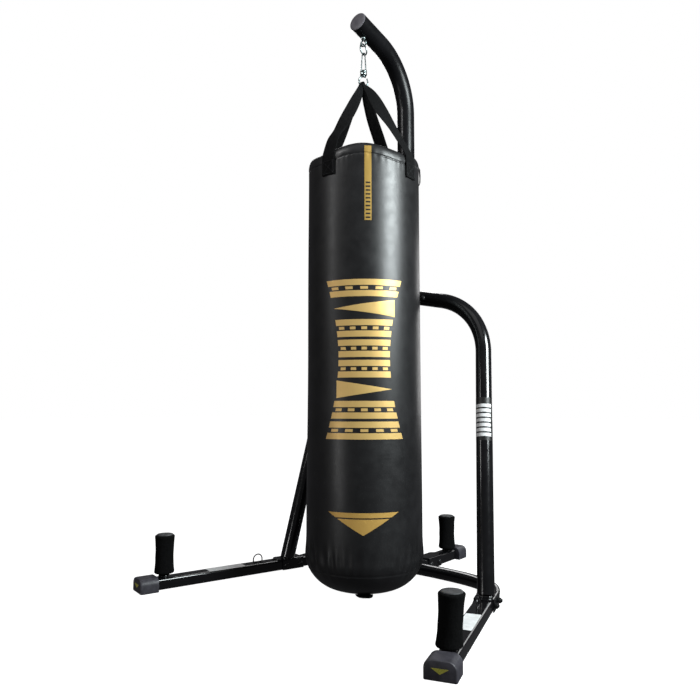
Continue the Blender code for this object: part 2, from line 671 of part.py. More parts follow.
def strap(name, heading, apex_z, offset):
    """One webbing strap: up one side of the bag, through the hook and down the other."""
    flat = BAG_R + STRAP_T / 2 + 3 * GAP
    rise = [(flat, BAG_TOP - 0.095, STRAP_W), (flat, BAG_TOP - 0.013, STRAP_W),
            (flat - 0.0060, BAG_TOP + 0.008, STRAP_W), (0.150, BAG_TOP + 0.070, STRAP_W),
            (0.070, BAG_TOP + 0.180, 0.036), (0.0160, HOOK_Z - 0.024, 0.009),
            (0.0080, apex_z, 0.006)]
    path = [(-r, z, w) for r, z, w in rise] + rise[::-1]
    across = Vector((0, 0, 1)).cross(heading)
    bm = bmesh.new()
    rows = []
    for r, z, w in path:
        near_hook = 1.0 if abs(r) < 0.02 else 0.0
        middle = Vector((0, BAG_Y, z)) + heading * r + offset * near_hook
        rows.append([bm.verts.new(middle + across * w * s / 2) for s in (1, 0, -1)])
    for low, high in zip(rows, rows[1:]):
        for a in range(2):
            bm.faces.new((low[a], low[a + 1], high[a + 1], high[a]))
    mesh = bpy.data.meshes.new(name)
    bm.to_mesh(mesh)
    bm.free()
    obj = add(name, mesh, WEBBING)
    body = obj.modifiers.new("webbing", "SOLIDIFY")
    body.thickness = STRAP_T
    body.offset = 0.0
    body.use_even_offset = True


# ---------------------------------------------------------------- assembly
def build():
    legs = {
        "right": (JOINT, (FRONT - JOINT).normalized(), (FRONT - JOINT).length, 1, 0.0),
        "left": (Vector((-JOINT.x, JOINT.y, 0)),
                 Vector((JOINT.x - FRONT.x, FRONT.y - JOINT.y, 0)).normalized(),
                 (FRONT - JOINT).length, -1, 0.004),
        "rear": (Vector((0, REAR_JOINT_Y, 0)), Vector((0, 1, 0)), REAR_Y - REAR_JOINT_Y, 1, 0.0),
    }
    frames = {}
    for side, (joint, forward, length, nut_side, lift) in legs.items():
        frame = leg_frame(joint, forward)
        frames[side] = frame
        rail(side + ("_leg" if side == "rear" else "_rail"), frame, length)
        foot_cap(side + "_foot_cap", frame, length)
        peg_set(side, frame, length, lift)
        saddle(side, frame, nut_side)
        if side != "rear":
            anchor_loop(side, frame, length - 0.425)
    base_frame(frames)
    side_tube("left", -1)
    side_tube("right", 1)
    mast_bracket()
    hanging_hardware(mast())
    bag()
    toward_spine = HOOK_AXIS * -0.004
    strap("strap_left_right", Vector((1, 0, 0)), HOOK_Z - 0.0045, toward_spine)
    strap("strap_front_back", Vector((0, 1, 0)), HOOK_Z + 0.0010, toward_spine)


build()
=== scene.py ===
"""The looks of a heavy punching bag on its free-standing frame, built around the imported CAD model."""

import json
from math import copysign, cos, degrees, exp, hypot, pi, radians, sin, sqrt, tan, tau

import bmesh
import bpy
from mathutils import Matrix, Vector, noise

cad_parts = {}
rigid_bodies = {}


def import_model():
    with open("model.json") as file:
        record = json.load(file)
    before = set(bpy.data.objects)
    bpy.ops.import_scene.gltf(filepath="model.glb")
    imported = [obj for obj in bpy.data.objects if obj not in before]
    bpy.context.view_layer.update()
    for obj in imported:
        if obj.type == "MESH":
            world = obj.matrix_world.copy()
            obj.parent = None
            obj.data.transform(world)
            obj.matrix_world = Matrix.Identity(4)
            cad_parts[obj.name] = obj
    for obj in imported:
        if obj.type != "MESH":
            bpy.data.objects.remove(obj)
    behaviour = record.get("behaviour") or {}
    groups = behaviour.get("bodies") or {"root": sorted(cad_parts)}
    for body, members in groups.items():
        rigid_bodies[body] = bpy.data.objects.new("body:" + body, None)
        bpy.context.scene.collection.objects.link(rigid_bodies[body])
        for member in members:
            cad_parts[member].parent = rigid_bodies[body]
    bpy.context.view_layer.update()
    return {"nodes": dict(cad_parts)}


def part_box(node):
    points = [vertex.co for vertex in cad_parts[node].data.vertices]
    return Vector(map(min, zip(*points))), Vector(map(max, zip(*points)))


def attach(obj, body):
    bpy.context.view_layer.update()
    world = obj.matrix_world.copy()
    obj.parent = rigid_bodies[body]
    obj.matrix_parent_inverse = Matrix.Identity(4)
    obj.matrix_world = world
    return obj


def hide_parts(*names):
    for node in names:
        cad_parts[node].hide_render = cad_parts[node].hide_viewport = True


for old in list(bpy.data.objects):
    bpy.data.objects.remove(old, do_unlink=True)

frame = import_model()
GAP = 0.0003  # clearance between pieces that touch
UP = Vector((0, 0, 1))

# ---- driving dimensions
BAG_LOW, BAG_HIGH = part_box("bag_cover")
BAG = Vector(((BAG_LOW.x + BAG_HIGH.x) / 2, (BAG_LOW.y + BAG_HIGH.y) / 2, 0))
MAST_LOW, MAST_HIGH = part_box("mast_lower")
MAST = Vector(((MAST_LOW.x + MAST_HIGH.x) / 2, (MAST_LOW.y + MAST_HIGH.y) / 2, 0))
MAST_R, MAST_WALL = (MAST_HIGH.x - MAST_LOW.x) / 2, 0.0025
TUBE_R, TUBE_WALL = 0.0254, 0.0022

JOINT = Vector((0.3927, BAG.y + 0.0603, 0))  # right front leg meets upright and floor tube
FRONT = Vector((0.545, BAG.y - 0.4647, 0))  # middle of the right foot cap's face
REAR_JOINT = Vector((0, BAG.y + 0.4, 0))
REAR = Vector((0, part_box("rear_foot_cap")[1].y, 0))
RAIL_W, RAIL_BOTTOM, RAIL_TOP, RAIL_R = 0.051, 0.0025, 0.0365, 0.006
RAIL_WALL = 0.002
CAP_W, CAP_H, CAP_L, CAP_TOP_R = 0.0753, 0.045, 0.059, 0.02
PEG_BACK, PEG_R = 0.0874, 0.0125
ROLLER_R, ROLLER_WAIST = 0.0315, 0.0285
ROLLER_LEAN = 0.0075  # the right roller's foam has slipped to one side
PLUG_R, FLANGE_TOP = 0.0262, 0.0455
SADDLE_TOP, SADDLE_HALF, SADDLE_T, SADDLE_HEM = 0.0403, 0.0293, 0.0035, 0.0025
SADDLE_REAR, SADDLE_FRONT, SADDLE_TONGUE = -0.05, 0.035, 0.056
BOLT_FRONT, BOLT_REAR, BOLT_Z = 0.0195, -0.0365, 0.018
BOLT_R, HEAD_R, NUT_H = 0.005, 0.0085, 0.008
BASE_R, BASE_Z = 0.0203, 0.0237
BASE_SQUARE, BASE_ROUND = 0.062, 0.115
BRACKET_Z, BRACKET_H, SLEEVE_R = 0.98, 0.1, 0.036
ELBOW, ELBOW_R = Vector((0.3037, MAST.y - 0.0054, 0.9154)), 0.22
ARM_START, ARM_BEND_Z, ARM_BEND_R = 1.1003, 1.66, 0.203
ARM_PITCH = radians(10.4)
ARM_TIP_Y = BAG.y - 0.032
ANCHOR_AHEAD = 0.1216  # anchor loop ahead of the leg's joint

EYE_Z, EYE_R, EYE_WIRE = 1.8215, 0.0105, 0.0028
RING_Z, RING_R, RING_WIRE = 1.7986, 0.018, 0.0025
BAIL_Z, BAIL_TOP_R, BAIL_WIRE = 1.7854, 0.0055, 0.002
YOKE_R, YOKE_TOP, YOKE_BOTTOM = 0.0115, 1.7215, 1.7065
HOOK_Z, HOOK_R, HOOK_WIRE, HOOK_TOP = 1.6818, 0.0148, 0.003, 1.7025
HOOK_AXIS = Vector((1.0, 1.0, 0.0)).normalized()
GATE_R = 0.0022

BAG_R, BAG_R_LOW = 0.1835, 0.1854
BAG_BOTTOM = BAG_LOW.z
BAG_CURVE_R, BAG_CURVE_Z = 0.118, 0.105  # the bottom curves in over this much
RIM_LOW, RIM_SWELL = 1.384, 0.016  # the rim swells between the straps
STRAP_W, STRAP_T = 0.05, 0.0026
STRAP_R = BAG_R + STRAP_T / 2 + 0.0012  # a strap's middle where it lies on the bag
FRONT_FACE = radians(-52.0)  # the printed side of the bag
PRINT_LIFT = 0.0003  # how far ink stands on the leather


def add_object(name, data):
    obj = bpy.data.objects.new(name, data)
    bpy.context.scene.collection.objects.link(obj)
    return obj


# ---- camera
lens = bpy.data.cameras.new("camera")
lens.sensor_width, lens.lens = 36.0, 33.684
lens.shift_x, lens.shift_y = 0.0008, 0.0004
camera = add_object("camera", lens)
camera.location = (1.2816, -1.7867, 0.5803)
camera.rotation_euler = (pi / 2 + 0.0867, 0.0, 0.6635)
bpy.context.scene.camera = camera


# ---- materials
class Shader:
    """A Principled material and the few node chains that the finishes share."""

    def __init__(self, name, roughness, metallic=0.0, specular=0.5, **sockets):
        self.mat = bpy.data.materials.new(name)
        self.mat.use_nodes = True
        self.tree = self.mat.node_tree
        self.out = self.tree.nodes["Principled BSDF"]
        self.out.inputs["Roughness"].default_value = roughness
        self.out.inputs["Metallic"].default_value = metallic
        self.out.inputs["Specular IOR Level"].default_value = specular
        for socket, value in sockets.items():
            self.out.inputs[socket.replace("_", " ")].default_value = value
        self.coords = self.node("TexCoord")

    def node(self, kind, **values):
        """Add a node; each value is a socket to link from, an input's number or a setting."""
        made = self.tree.nodes.new("ShaderNode" + kind)
        for key, value in values.items():
            if key in made.inputs:
                self.join(value, made.inputs[key])
            else:
                setattr(made, key, value)
        return made

    def join(self, source, target):
        if isinstance(source, bpy.types.NodeSocket):
            self.tree.links.new(source, target)
        else:
            target.default_value = source

    def axes(self, space):
        place = self.node("SeparateXYZ", Vector=self.coords.outputs[space])
        return place.outputs["X"], place.outputs["Y"]

    def stretched(self, scale):
        return self.node("Mapping", Scale=scale, Vector=self.coords.outputs["Object"]).outputs["Vector"]

    def noise(self, scale, detail=4.0, vector=None):
        vector = vector or self.coords.outputs["Object"]
        return self.node("TexNoise", Scale=scale, Detail=detail, Roughness=0.55,
                         Vector=vector).outputs["Fac"]

    def cells(self, scale, feature="F1"):
        return self.node("TexVoronoi", feature=feature, Scale=scale,
                         Vector=self.coords.outputs["Object"]).outputs["Distance"]

    def maths(self, operation, a, b):
        made = self.node("Math", operation=operation)
        for socket, value in zip(made.inputs, (a, b)):
            self.join(value, socket)
        return made.outputs[0]

    def spread(self, source, low, high, start=0.3, stop=0.7):
        return self.node("MapRange", **{"From Min": start, "From Max": stop, "To Min": low,
                                        "To Max": high, "Value": source}).outputs["Result"]

    def tint(self, source, dark, light, start=0.35, stop=0.65):
        ramp = self.node("ValToRGB", Fac=source)
        low, high = ramp.color_ramp.elements
        low.position, high.position = start, stop
        low.color, high.color = (*dark, 1.0), (*light, 1.0)
        self.join(ramp.outputs["Color"], self.out.inputs["Base Color"])

    def rough(self, source, low, high):
        self.join(self.spread(source, low, high), self.out.inputs["Roughness"])

    def bump(self, source, distance, strength=1.0):
        made = self.node("Bump", Strength=strength, Distance=distance, Height=source)
        if self.out.inputs["Normal"].is_linked:
            self.join(self.out.inputs["Normal"].links[0].from_socket, made.inputs["Normal"])
        self.join(made.outputs["Normal"], self.out.inputs["Normal"])


def finish(name, roughness, mottle, dark, light, rough=None, grain=(), **sockets):
    """A mottled finish: rough is (scale, low, high), grain is (texture, depth, strength, scale)."""
    s = Shader(name, roughness, **sockets)
    s.tint(s.noise(mottle), dark, light)
    if rough:
        s.rough(s.noise(rough[0]), rough[1], rough[2])
    for texture, depth, strength, *scale in grain:
        s.bump(getattr(s, texture)(*scale), depth, strength)
    return s.mat


def black_paint(name, roughness, specular, coat):
    return finish(name, roughness, 9.0, (0.0038, 0.0038, 0.0044), (0.0072, 0.007, 0.008),
                  (55.0, roughness - 0.03, roughness + 0.05), [("noise", 0.000012, 1.0, 700.0, 2.0)],
                  specular=specular, Coat_Weight=coat, Coat_Roughness=0.07)


def moulded_plastic(name, dark, light, roughness):
    return finish(name, roughness, 70.0, dark, light, (420.0, roughness - 0.07, roughness + 0.07),
                  [("cells", 0.00005, 1.0, 900.0)], specular=0.42)


def leather():
    """Synthetic leather: fine pebbled grain, faint stretch creases and a soft sheen."""
    s = Shader("black_synthetic_leather", 0.4, specular=0.5, Coat_Weight=0.1, Coat_Roughness=0.3)
    s.tint(s.noise(14.0), (0.0062, 0.006, 0.0066), (0.0115, 0.0112, 0.012))
    s.rough(s.noise(38.0), 0.36, 0.45)
    grain = s.cells(620.0, "SMOOTH_F1")
    s.bump(grain, 0.00012, 0.6)
    creases = s.noise(26.0, 6.0, s.stretched((1.0, 1.0, 4.0)))
    s.bump(s.spread(creases, 0.0, 1.0, 0.42, 0.62), 0.00008, 0.5)
    return s.mat


def webbing():
    """Nylon webbing: ribs across the band, made from its own length and width in metres."""
    s = Shader("black_webbing", 0.9, specular=0.16)
    length, width = s.axes("UV")
    rib, yarn = 0.0022, 0.0026
    ribs = s.maths("SINE", s.maths("MULTIPLY", length, tau / rib), 0.0)
    yarns = s.maths("SINE", s.maths(
        "ADD", s.maths("MULTIPLY", width, tau / yarn), s.maths("MULTIPLY", length, tau / (2 * rib))), 0.0)
    weave = s.maths("MULTIPLY", ribs, yarns)
    s.tint(s.spread(weave, 0.0, 1.0, -1.0, 1.0), (0.0018, 0.0018, 0.002), (0.0075, 0.0075, 0.008), 0.2, 0.9)
    s.rough(s.noise(180.0), 0.78, 0.94)
    s.bump(weave, 0.0004)
    return s.mat


def gold_print(name, left, right):
    """Metallic ink with a faint brushed grain; its colour shifts from the left colour to the right one, and
    this shift is painted light and shade, one side painted lighter and the other darker.
    """
    s = Shader(name, 0.42, metallic=0.35, specular=0.45)
    grain = s.noise(420.0, 3.0, s.stretched((1.0, 1.0, 0.08)))
    # painted light and shade: the tint runs along the bag's x, so one side of the print is painted lighter
    # and the other darker
    side = s.maths("ADD", s.maths("MULTIPLY", s.axes("Object")[0], 2.6), s.maths("MULTIPLY", grain, 0.35))
    s.tint(side, left, right, -0.05, 0.5)
    s.rough(s.noise(60.0), 0.38, 0.5)
    s.bump(s.cells(620.0, "SMOOTH_F1"), 0.00008, 0.5)
    return s.mat


PAINT = black_paint("black_powder_coat", 0.16, 0.55, 0.3)
MAST_PAINT = black_paint("satin_powder_coat", 0.28, 0.2, 0.0)
OXIDE = finish("black_oxide", 0.3, 160.0, (0.014, 0.014, 0.015), (0.05, 0.05, 0.052),
               (320.0, 0.22, 0.42), [("noise", 0.00004, 1.0, 1500.0)], metallic=0.55)
FOOT_PLASTIC = moulded_plastic("foot_cap_plastic", (0.034, 0.032, 0.039), (0.052, 0.049, 0.06), 0.5)
END_PLASTIC = moulded_plastic("arm_cap_plastic", (0.105, 0.098, 0.112), (0.15, 0.142, 0.158), 0.5)
PLUG_PLASTIC = moulded_plastic("plug_plastic", (0.034, 0.034, 0.036), (0.06, 0.06, 0.063), 0.48)
FOAM = finish(
    "closed_cell_foam", 0.95, 240.0, (0.0012, 0.0012, 0.0013), (0.0042, 0.0042, 0.0044),
    (500.0, 0.88, 1.0), [("cells", 0.00035, 1.0, 800.0), ("noise", 0.0004, 1.0, 90.0)], specular=0.1)
ZINC = finish("bright_zinc", 0.22, 120.0, (0.11, 0.15, 0.15), (0.36, 0.42, 0.42),
              (260.0, 0.2, 0.38), [("noise", 0.00004, 1.0, 900.0)], metallic=1.0)
LEATHER = leather()
WEBBING = webbing()
THREAD = finish("black_thread", 0.7, 900.0, (0.012, 0.012, 0.013), (0.04, 0.04, 0.042),
                grain=[("noise", 0.0001, 1.0, 2600.0)], specular=0.35)
# each gold ink's own colour lies between its left and right colours; the difference between them is painted
# light and shade
GOLD = gold_print("gold_ink", (0.88, 0.55, 0.2), (0.76, 0.51, 0.18))
GOLD_DEEP = gold_print("deep_gold_ink", (0.4, 0.25, 0.06), (0.46, 0.29, 0.07))
GOLD_LOW = gold_print("low_gold_ink", (0.74, 0.42, 0.11), (0.66, 0.4, 0.105))
INK = finish("dark_ink", 0.45, 200.0, (0.004, 0.0038, 0.0036), (0.0095, 0.009, 0.0085),
             grain=[("cells", 0.00006, 0.5, 620.0, "SMOOTH_F1")])
LABEL = finish("white_label", 0.45, 60.0, (0.7, 0.7, 0.7), (0.84, 0.84, 0.84),
               (300.0, 0.38, 0.5), [("noise", 0.00002, 1.0, 1200.0)])
YELLOW = finish("yellow_mark", 0.5, 300.0, (0.36, 0.34, 0.04), (0.52, 0.48, 0.08),
                grain=[("noise", 0.00003, 1.0, 900.0)])
FLOOR = finish("studio_floor", 0.9, 3.0, (0.3, 0.3, 0.3), (0.32, 0.32, 0.32),
               Emission_Color=(1.0, 1.0, 1.0, 1.0), Emission_Strength=1.0)


# ---- mesh helpers
def piece(name, bm, mat, body, slot, *replaces, sharp=38.0):
    """Finish a mesh as one named piece that rides on a CAD body."""
    bmesh.ops.recalc_face_normals(bm, faces=bm.faces)
    mesh = bpy.data.meshes.new(name)
    bm.to_mesh(mesh)
    bm.free()
    mesh.shade_smooth()
    mesh.set_sharp_from_angle(angle=radians(sharp))
    mesh.materials.append(mat)
    obj = add_object(name, mesh)
    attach(obj, body)
    if replaces:
        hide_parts(*replaces)
    return obj


def painted(name, bm, *nodes, mat=PAINT):
    """A piece of the steel stand, or something stuck on it."""
    piece(name, bm, mat, "stand", "frame_paint", *nodes)


def plated(name, bm, body, *nodes):
    """A piece of the hanging hardware."""
    piece(name, bm, ZINC, body, "hardware_zinc", *nodes)


def loft(bm, rings, closed=True, cyclic=False, uvs=None):
    """Join rings of points with faces; uvs holds (along, over) for each point."""
    rows = [[bm.verts.new(p) for p in ring] for ring in rings]
    layer = bm.loops.layers.uv.verify() if uvs else None
    count = len(rows[0])
    for r in range(len(rows) if cyclic else len(rows) - 1):
        low, high = rows[r], rows[(r + 1) % len(rows)]
        for i in range(count if closed else count - 1):
            j = (i + 1) % count
            face = bm.faces.new((low[i], low[j], high[j], high[i]))
            if uvs:
                for loop, (row, column) in zip(face.loops, ((r, i), (r, j), (r + 1, j), (r + 1, i))):
                    loop[layer].uv = uvs[row][column]
    if closed and not cyclic:
        bm.faces.new(rows[0][::-1])
        bm.faces.new(rows[-1])
    return bm


def turn(bm, profile, matrix, steps=64):
    """Turn a profile of (radius, z) round Z; a radius of 0 makes a pole."""
    rows = [[bm.verts.new(matrix @ Vector((r * cos(tau * i / steps), r * sin(tau * i / steps), z)))
             for i in range(steps if r > 0 else 1)] for r, z in profile]
    for low, high in zip(rows, rows[1:]):
        for i in range(steps):
            j = (i + 1) % steps
            corners = [low[i], low[j]] if len(low) > 1 else low
            corners = corners + ([high[j], high[i]] if len(high) > 1 else high)
            if len(corners) > 2:
                bm.faces.new(corners)
    return bm


def merge(bm):
    bmesh.ops.remove_doubles(bm, verts=bm.verts, dist=1e-6)


def soften(points, radius, steps=3, closed=False):
    """Round the corners of a line of points."""
    count = len(points)
    made = []
    for i, (x, y) in enumerate(points):
        if not closed and i in (0, count - 1):
            made.append((x, y))
            continue
        before, here, after = Vector(points[i - 1]), Vector((x, y)), Vector(points[(i + 1) % count])
        start, stop = (here + (other - here).normalized() * min(radius, (other - here).length * 0.45)
                       for other in (before, after))
        for k in range(steps + 1):
            t = k / steps
            spot = start * (1 - t) ** 2 + here * 2 * t * (1 - t) + stop * t * t
            made.append((spot.x, spot.y))
    return made


def arc(centre, radius, start, stop, steps):
    """Points (x, y) on an arc, angles in degrees."""
    angles = [radians(start + (stop - start) * i / steps) for i in range(steps + 1)]
    return [(centre[0] + radius * cos(a), centre[1] + radius * sin(a)) for a in angles]


def rounded_box(width, low, high, radius):
    x, bottom, top = width / 2 - radius, low + radius, high - radius
    corners = ((x, bottom), (x, top), (-x, top), (-x, bottom))
    return [spot for i, corner in enumerate(corners)
            for spot in arc(corner, radius, 90 * i - 90, 90 * i, 6)]


def circle(radius, sides):
    return arc((0, 0), radius, 0, 360 * (sides - 1) / sides, sides - 1)


def placed(place, outline, z):
    """An outline of (x, y) set at z in a frame of its own."""
    return [place @ Vector((x, y, z)) for x, y in outline]


def smooth_path(points, steps):
    """A smooth curve through the points (Catmull-Rom)."""
    ends = [points[0] * 2 - points[1]] + list(points) + [points[-1] * 2 - points[-2]]
    path = []
    for a, b, c, d in zip(ends, ends[1:], ends[2:], ends[3:]):
        for i in range(steps):
            t = i / steps
            path.append(0.5 * (2 * b + (c - a) * t + (2 * a - 5 * b + 4 * c - d) * t * t
                               + (3 * b - a - 3 * c + d) * t ** 3))
    return path + [points[-1]]


def fillet_path(start, corner, end, radius, steps):
    """A straight run, an arc in the corner and a second straight run."""
    back, ahead = (start - corner).normalized(), (end - corner).normalized()
    half = back.angle(ahead) / 2
    tangent = radius / tan(half)
    centre = corner + (back + ahead).normalized() * radius / sin(half)
    first, last = corner + back * tangent - centre, corner + ahead * tangent - centre
    angle = first.angle(last)
    shares = [i / steps for i in range(steps + 1)]
    return [start] + [centre + (first * sin((1 - share) * angle) + last * sin(share * angle)) / sin(angle)
                      for share in shares] + [end]


def heading(path, i, closed=False):
    """The direction of a path at one of its points."""
    low = path[i - 1] if closed or i else path[0]
    high = path[(i + 1) % len(path)] if closed or i < len(path) - 1 else path[-1]
    return (high - low).normalized()


def sweep(bm, path, section, closed=False, wall_section=None):
    """Carry a section along a path, solid or as an open tube with a wall."""
    ahead = [heading(path, i, closed) for i in range(len(path))]
    across = ahead[0].cross(UP)
    if across.length < 1e-4:
        across = ahead[0].cross(Vector((1, 0, 0)))
    frames = []
    for direction in ahead:
        across = (across - direction * across.dot(direction)).normalized()
        frames.append((across, across.cross(direction)))

    def carried(outline):
        return [[spot + a * x + b * y for x, y in outline] for spot, (a, b) in zip(path, frames)]

    if wall_section:
        return loft(bm, carried(section) + carried(wall_section)[::-1], cyclic=True)
    return loft(bm, carried(section), cyclic=closed)


def along(centre, direction):
    turned = Vector(direction).normalized().to_track_quat("Z", "X").to_matrix().to_4x4()
    return Matrix.Translation(centre) @ turned


def weld_bead(bm, centre, radius, wire, ripple=0.0):
    """A ring of weld round an upright tube."""
    bead = [centre + Vector((x, y, ripple * sin(i * 1.9))) for i, (x, y) in enumerate(circle(radius, 72))]
    return sweep(bm, bead, circle(wire, 10), True)


def mirrored(point):
    return Vector((-point.x, point.y, point.z))


def leg(joint, tip, nut_side=1):
    """Frame (local x across, y up, z forward from the joint), length and the side of the nuts."""
    forward = (tip - joint).normalized()
    turned = Matrix((UP.cross(forward), UP, forward)).transposed()
    return Matrix.Translation(joint) @ turned.to_4x4(), (tip - joint).length, nut_side


LEGS = {"right": leg(JOINT, FRONT), "left": leg(mirrored(JOINT), mirrored(FRONT), -1),
        "rear": leg(REAR_JOINT, REAR)}


# ---- fasteners
def hexagon(share, turned=0):
    """Outline of a nut, its corners a little rounded."""
    return soften(arc((0, 0), HEAD_R * share, turned, turned + 300, 5), 0.0006, 2, closed=True)


def fastener(prefix, suffix, centre, direction, grip):
    """A domed bolt, and a chamfered hex nut on the far side."""
    place = along(centre, direction)
    near, end, chamfer = -grip / 2 - GAP, grip / 2 + NUT_H + 0.004, 0.0008
    dome = [(0, near - 0.0055)] + [
        (HEAD_R * sin(radians(a)), near - 0.0012 - 0.0043 * cos(radians(a))) for a in range(12, 91, 13)]
    dome += [(HEAD_R + chamfer, near - 0.001), (HEAD_R + chamfer, near), (BOLT_R, near),
             (BOLT_R, end - chamfer), (BOLT_R - chamfer, end), (0, end)]
    piece(prefix + "_domed_bolt" + suffix, turn(bmesh.new(), dome, place, 32), OXIDE, "stand",
          "fastener_black", prefix + "_bolt" + suffix)
    start, stop = grip / 2 + GAP, grip / 2 + GAP + NUT_H
    rings = [placed(place, hexagon(share), z) for z, share in
             ((start, 0.93), (start + chamfer, 1.0), (stop - 0.001, 1.0), (stop, 0.9))]
    bore = [placed(place, circle(BOLT_R + GAP, 18), z) for z in (stop, start)]
    piece(prefix + "_hex_nut" + suffix, loft(bmesh.new(), rings + bore, cyclic=True), OXIDE, "stand",
          "fastener_black", prefix + "_nut" + suffix)


# ---- legs
def rail(name, node, place, length):
    outer = rounded_box(RAIL_W, RAIL_BOTTOM, RAIL_TOP, RAIL_R)
    inner = rounded_box(
        RAIL_W - 2 * RAIL_WALL, RAIL_BOTTOM + RAIL_WALL, RAIL_TOP - RAIL_WALL, RAIL_R - RAIL_WALL)
    ends = (0.001, length - 0.0063)
    rings = [placed(place, outer, z) for z in ends] + [placed(place, inner, z) for z in reversed(ends)]
    painted(name, loft(bmesh.new(), rings, cyclic=True), node)


def tombstone(inset):
    """Outline of a foot cap: flat foot, round shoulders."""
    side, shoulder = CAP_W / 2 - inset, CAP_H - CAP_TOP_R
    radius = CAP_TOP_R - inset
    foot = soften([(-side, shoulder), (-side, inset), (side, inset), (side, shoulder)], 0.003, 3)
    return (foot[1:-1] + arc((side - radius, shoulder), radius, 0, 90, 12)
            + arc((-side + radius, shoulder), radius, 90, 180, 12))


def foot_cap(side, place, length):
    rings = [placed(place, tombstone(inset), length - back) for back, inset in
             ((CAP_L, 0.0012), (CAP_L - 0.0012, 0.0), (0.006, 0.0), (0.0032, 0.0005), (0.0013, 0.0012),
              (0.0004, 0.002), (0.0, 0.003))]
    piece(side + "_cap_shell", loft(bmesh.new(), rings), FOOT_PLASTIC, "stand", "foot_cap_plastic",
          side + "_foot_cap")
    half, top, bottom = 0.02, 0.028, 0.016
    wedge = soften([(-half, top), (half, top), (0.0, bottom)], 0.0008, 4, closed=True)
    mark = loft(bmesh.new(), [placed(place, wedge, length + lift) for lift in (-0.001, 0.0003)])
    piece(side + "_cap_mark", mark, YELLOW, "stand", "foot_cap_plastic")


def weight_peg(side, place, length):
    """Steel peg, and the foam roller and plug that lift off it."""
    foot = place @ Vector((0, 0, length - PEG_BACK))
    stand = Matrix.Translation((foot.x, foot.y, 0))
    low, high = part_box(side + "_roller")[0].z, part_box(side + "_roller")[1].z
    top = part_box(side + "_peg")[1].z
    peg = soften([(0, top), (PEG_R, top), (PEG_R, FLANGE_TOP - 0.0008), (0.0165, FLANGE_TOP - 0.0012),
                  (0.018, FLANGE_TOP - 0.004), (0.018, RAIL_TOP + GAP), (0, RAIL_TOP + GAP)], 0.0012)
    painted(side + "_weight_peg", turn(bmesh.new(), peg, stand, 48), side + "_peg")

    edge, rows = 0.0045, 24
    skin = arc((ROLLER_R - edge, high - edge), edge, 90, 0, 5)
    for i in range(1, rows):
        share = i / rows
        radius = ROLLER_WAIST + (ROLLER_R - ROLLER_WAIST) * abs(2 * share - 1) ** 2.4
        skin.append((radius, high - edge - (high - low - 2 * edge) * share))
    skin += arc((ROLLER_R - edge, low + edge), edge, 0, -90, 5)
    bore = PEG_R + GAP
    profile = [(bore, high)] + skin + [(bore, low), (bore, high)]
    bm = turn(bmesh.new(), profile, stand, 72)
    merge(bm)
    lean = Vector((0.79, 0.61, 0)) * (ROLLER_LEAN if side == "right" else 0.0)
    for vert in bm.verts:
        out = Vector((vert.co.x - foot.x, vert.co.y - foot.y, 0))
        if out.length > bore + 0.002:
            vert.co += out.normalized() * 0.0007 * noise.noise(vert.co * 45)
            vert.co += lean * (vert.co.z - low) / (high - low)
    obj = piece(side + "_foam_roller", bm, FOAM, side + "_roller", "roller_foam", side + "_roller")
    plug_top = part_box(side + "_peg_plug")[1].z
    disc = [(0, plug_top - 0.0012), (0.004, plug_top - 0.0011), (0.006, plug_top - 0.0002),
            (0.0085, plug_top), (PLUG_R - 0.002, plug_top), (PLUG_R - 0.0006, plug_top - 0.0006),
            (PLUG_R, plug_top - 0.0016), (PLUG_R, high + GAP), (PEG_R, high + GAP), (PEG_R, high - 0.005),
            (0, high - 0.005)]
    bm = turn(bmesh.new(), disc, stand, 64)
    for vert in bm.verts:
        if vert.co.z > high:
            vert.co += lean
    piece(side + "_roller_plug", bm, PLUG_PLASTIC, side + "_roller", "plug_plastic", side + "_peg_plug")


def anchor_loop(side, place):
    half, wire = 0.017, 0.002
    foot = RAIL_TOP + wire + GAP
    shape = [(-half, foot), (half, foot)] + arc((0.0, foot + 0.009), half, 0, 180, 24)
    shape = soften(shape, 0.004, 4, closed=True)
    path = [place @ Vector((0, y, ANCHOR_AHEAD + z)) for z, y in shape]
    painted(side + "_tether_loop", sweep(bmesh.new(), path, circle(wire, 12), True), side + "_anchor_loop")


def rail_label(side, place, length):
    """Blank paper label on top of a rail."""
    near, far, half = length - 0.368, length - 0.237, 0.0205
    flat = soften([(-half, near), (half, near), (half, far), (-half, far)], 0.002, 3, closed=True)
    rings = [[place @ Vector((x, RAIL_TOP + lift, z)) for x, z in flat] for lift in (-0.0002, 0.0003)]
    painted(side + "_blank_label", loft(bmesh.new(), rings), mat=LABEL)


def saddle(side, place):
    """Folded plate over the joint, with rounded bends and a round tongue in front."""
    inner, top = SADDLE_HALF - SADDLE_T, SADDLE_TOP - SADDLE_T
    bend = 0.0055
    outer_line = soften([(SADDLE_HALF, SADDLE_HEM), (SADDLE_HALF, SADDLE_TOP), (-SADDLE_HALF, SADDLE_TOP),
                         (-SADDLE_HALF, SADDLE_HEM)], bend, 6)
    inner_line = soften(
        [(-inner, SADDLE_HEM), (-inner, top), (inner, top), (inner, SADDLE_HEM)], bend - SADDLE_T, 6)
    bm = loft(bmesh.new(), [placed(place, outer_line + inner_line, z) for z in (SADDLE_REAR, SADDLE_FRONT)])
    reach, wide, root = SADDLE_TONGUE - SADDLE_FRONT, SADDLE_HALF - bend * 0.6, SADDLE_FRONT - 0.003
    half_round = [(x * wide, SADDLE_FRONT + y * reach) for x, y in arc((0, 0), 1, 180, 0, 24)]
    tongue = [(-wide, root)] + half_round + [(wide, root)]
    loft(bm, [[place @ Vector((x, y, z)) for x, z in tongue]
              for y in (top, top + 0.0006, SADDLE_TOP - 0.0006, SADDLE_TOP)])
    painted(side + "_joint_saddle", bm, side + "_saddle")


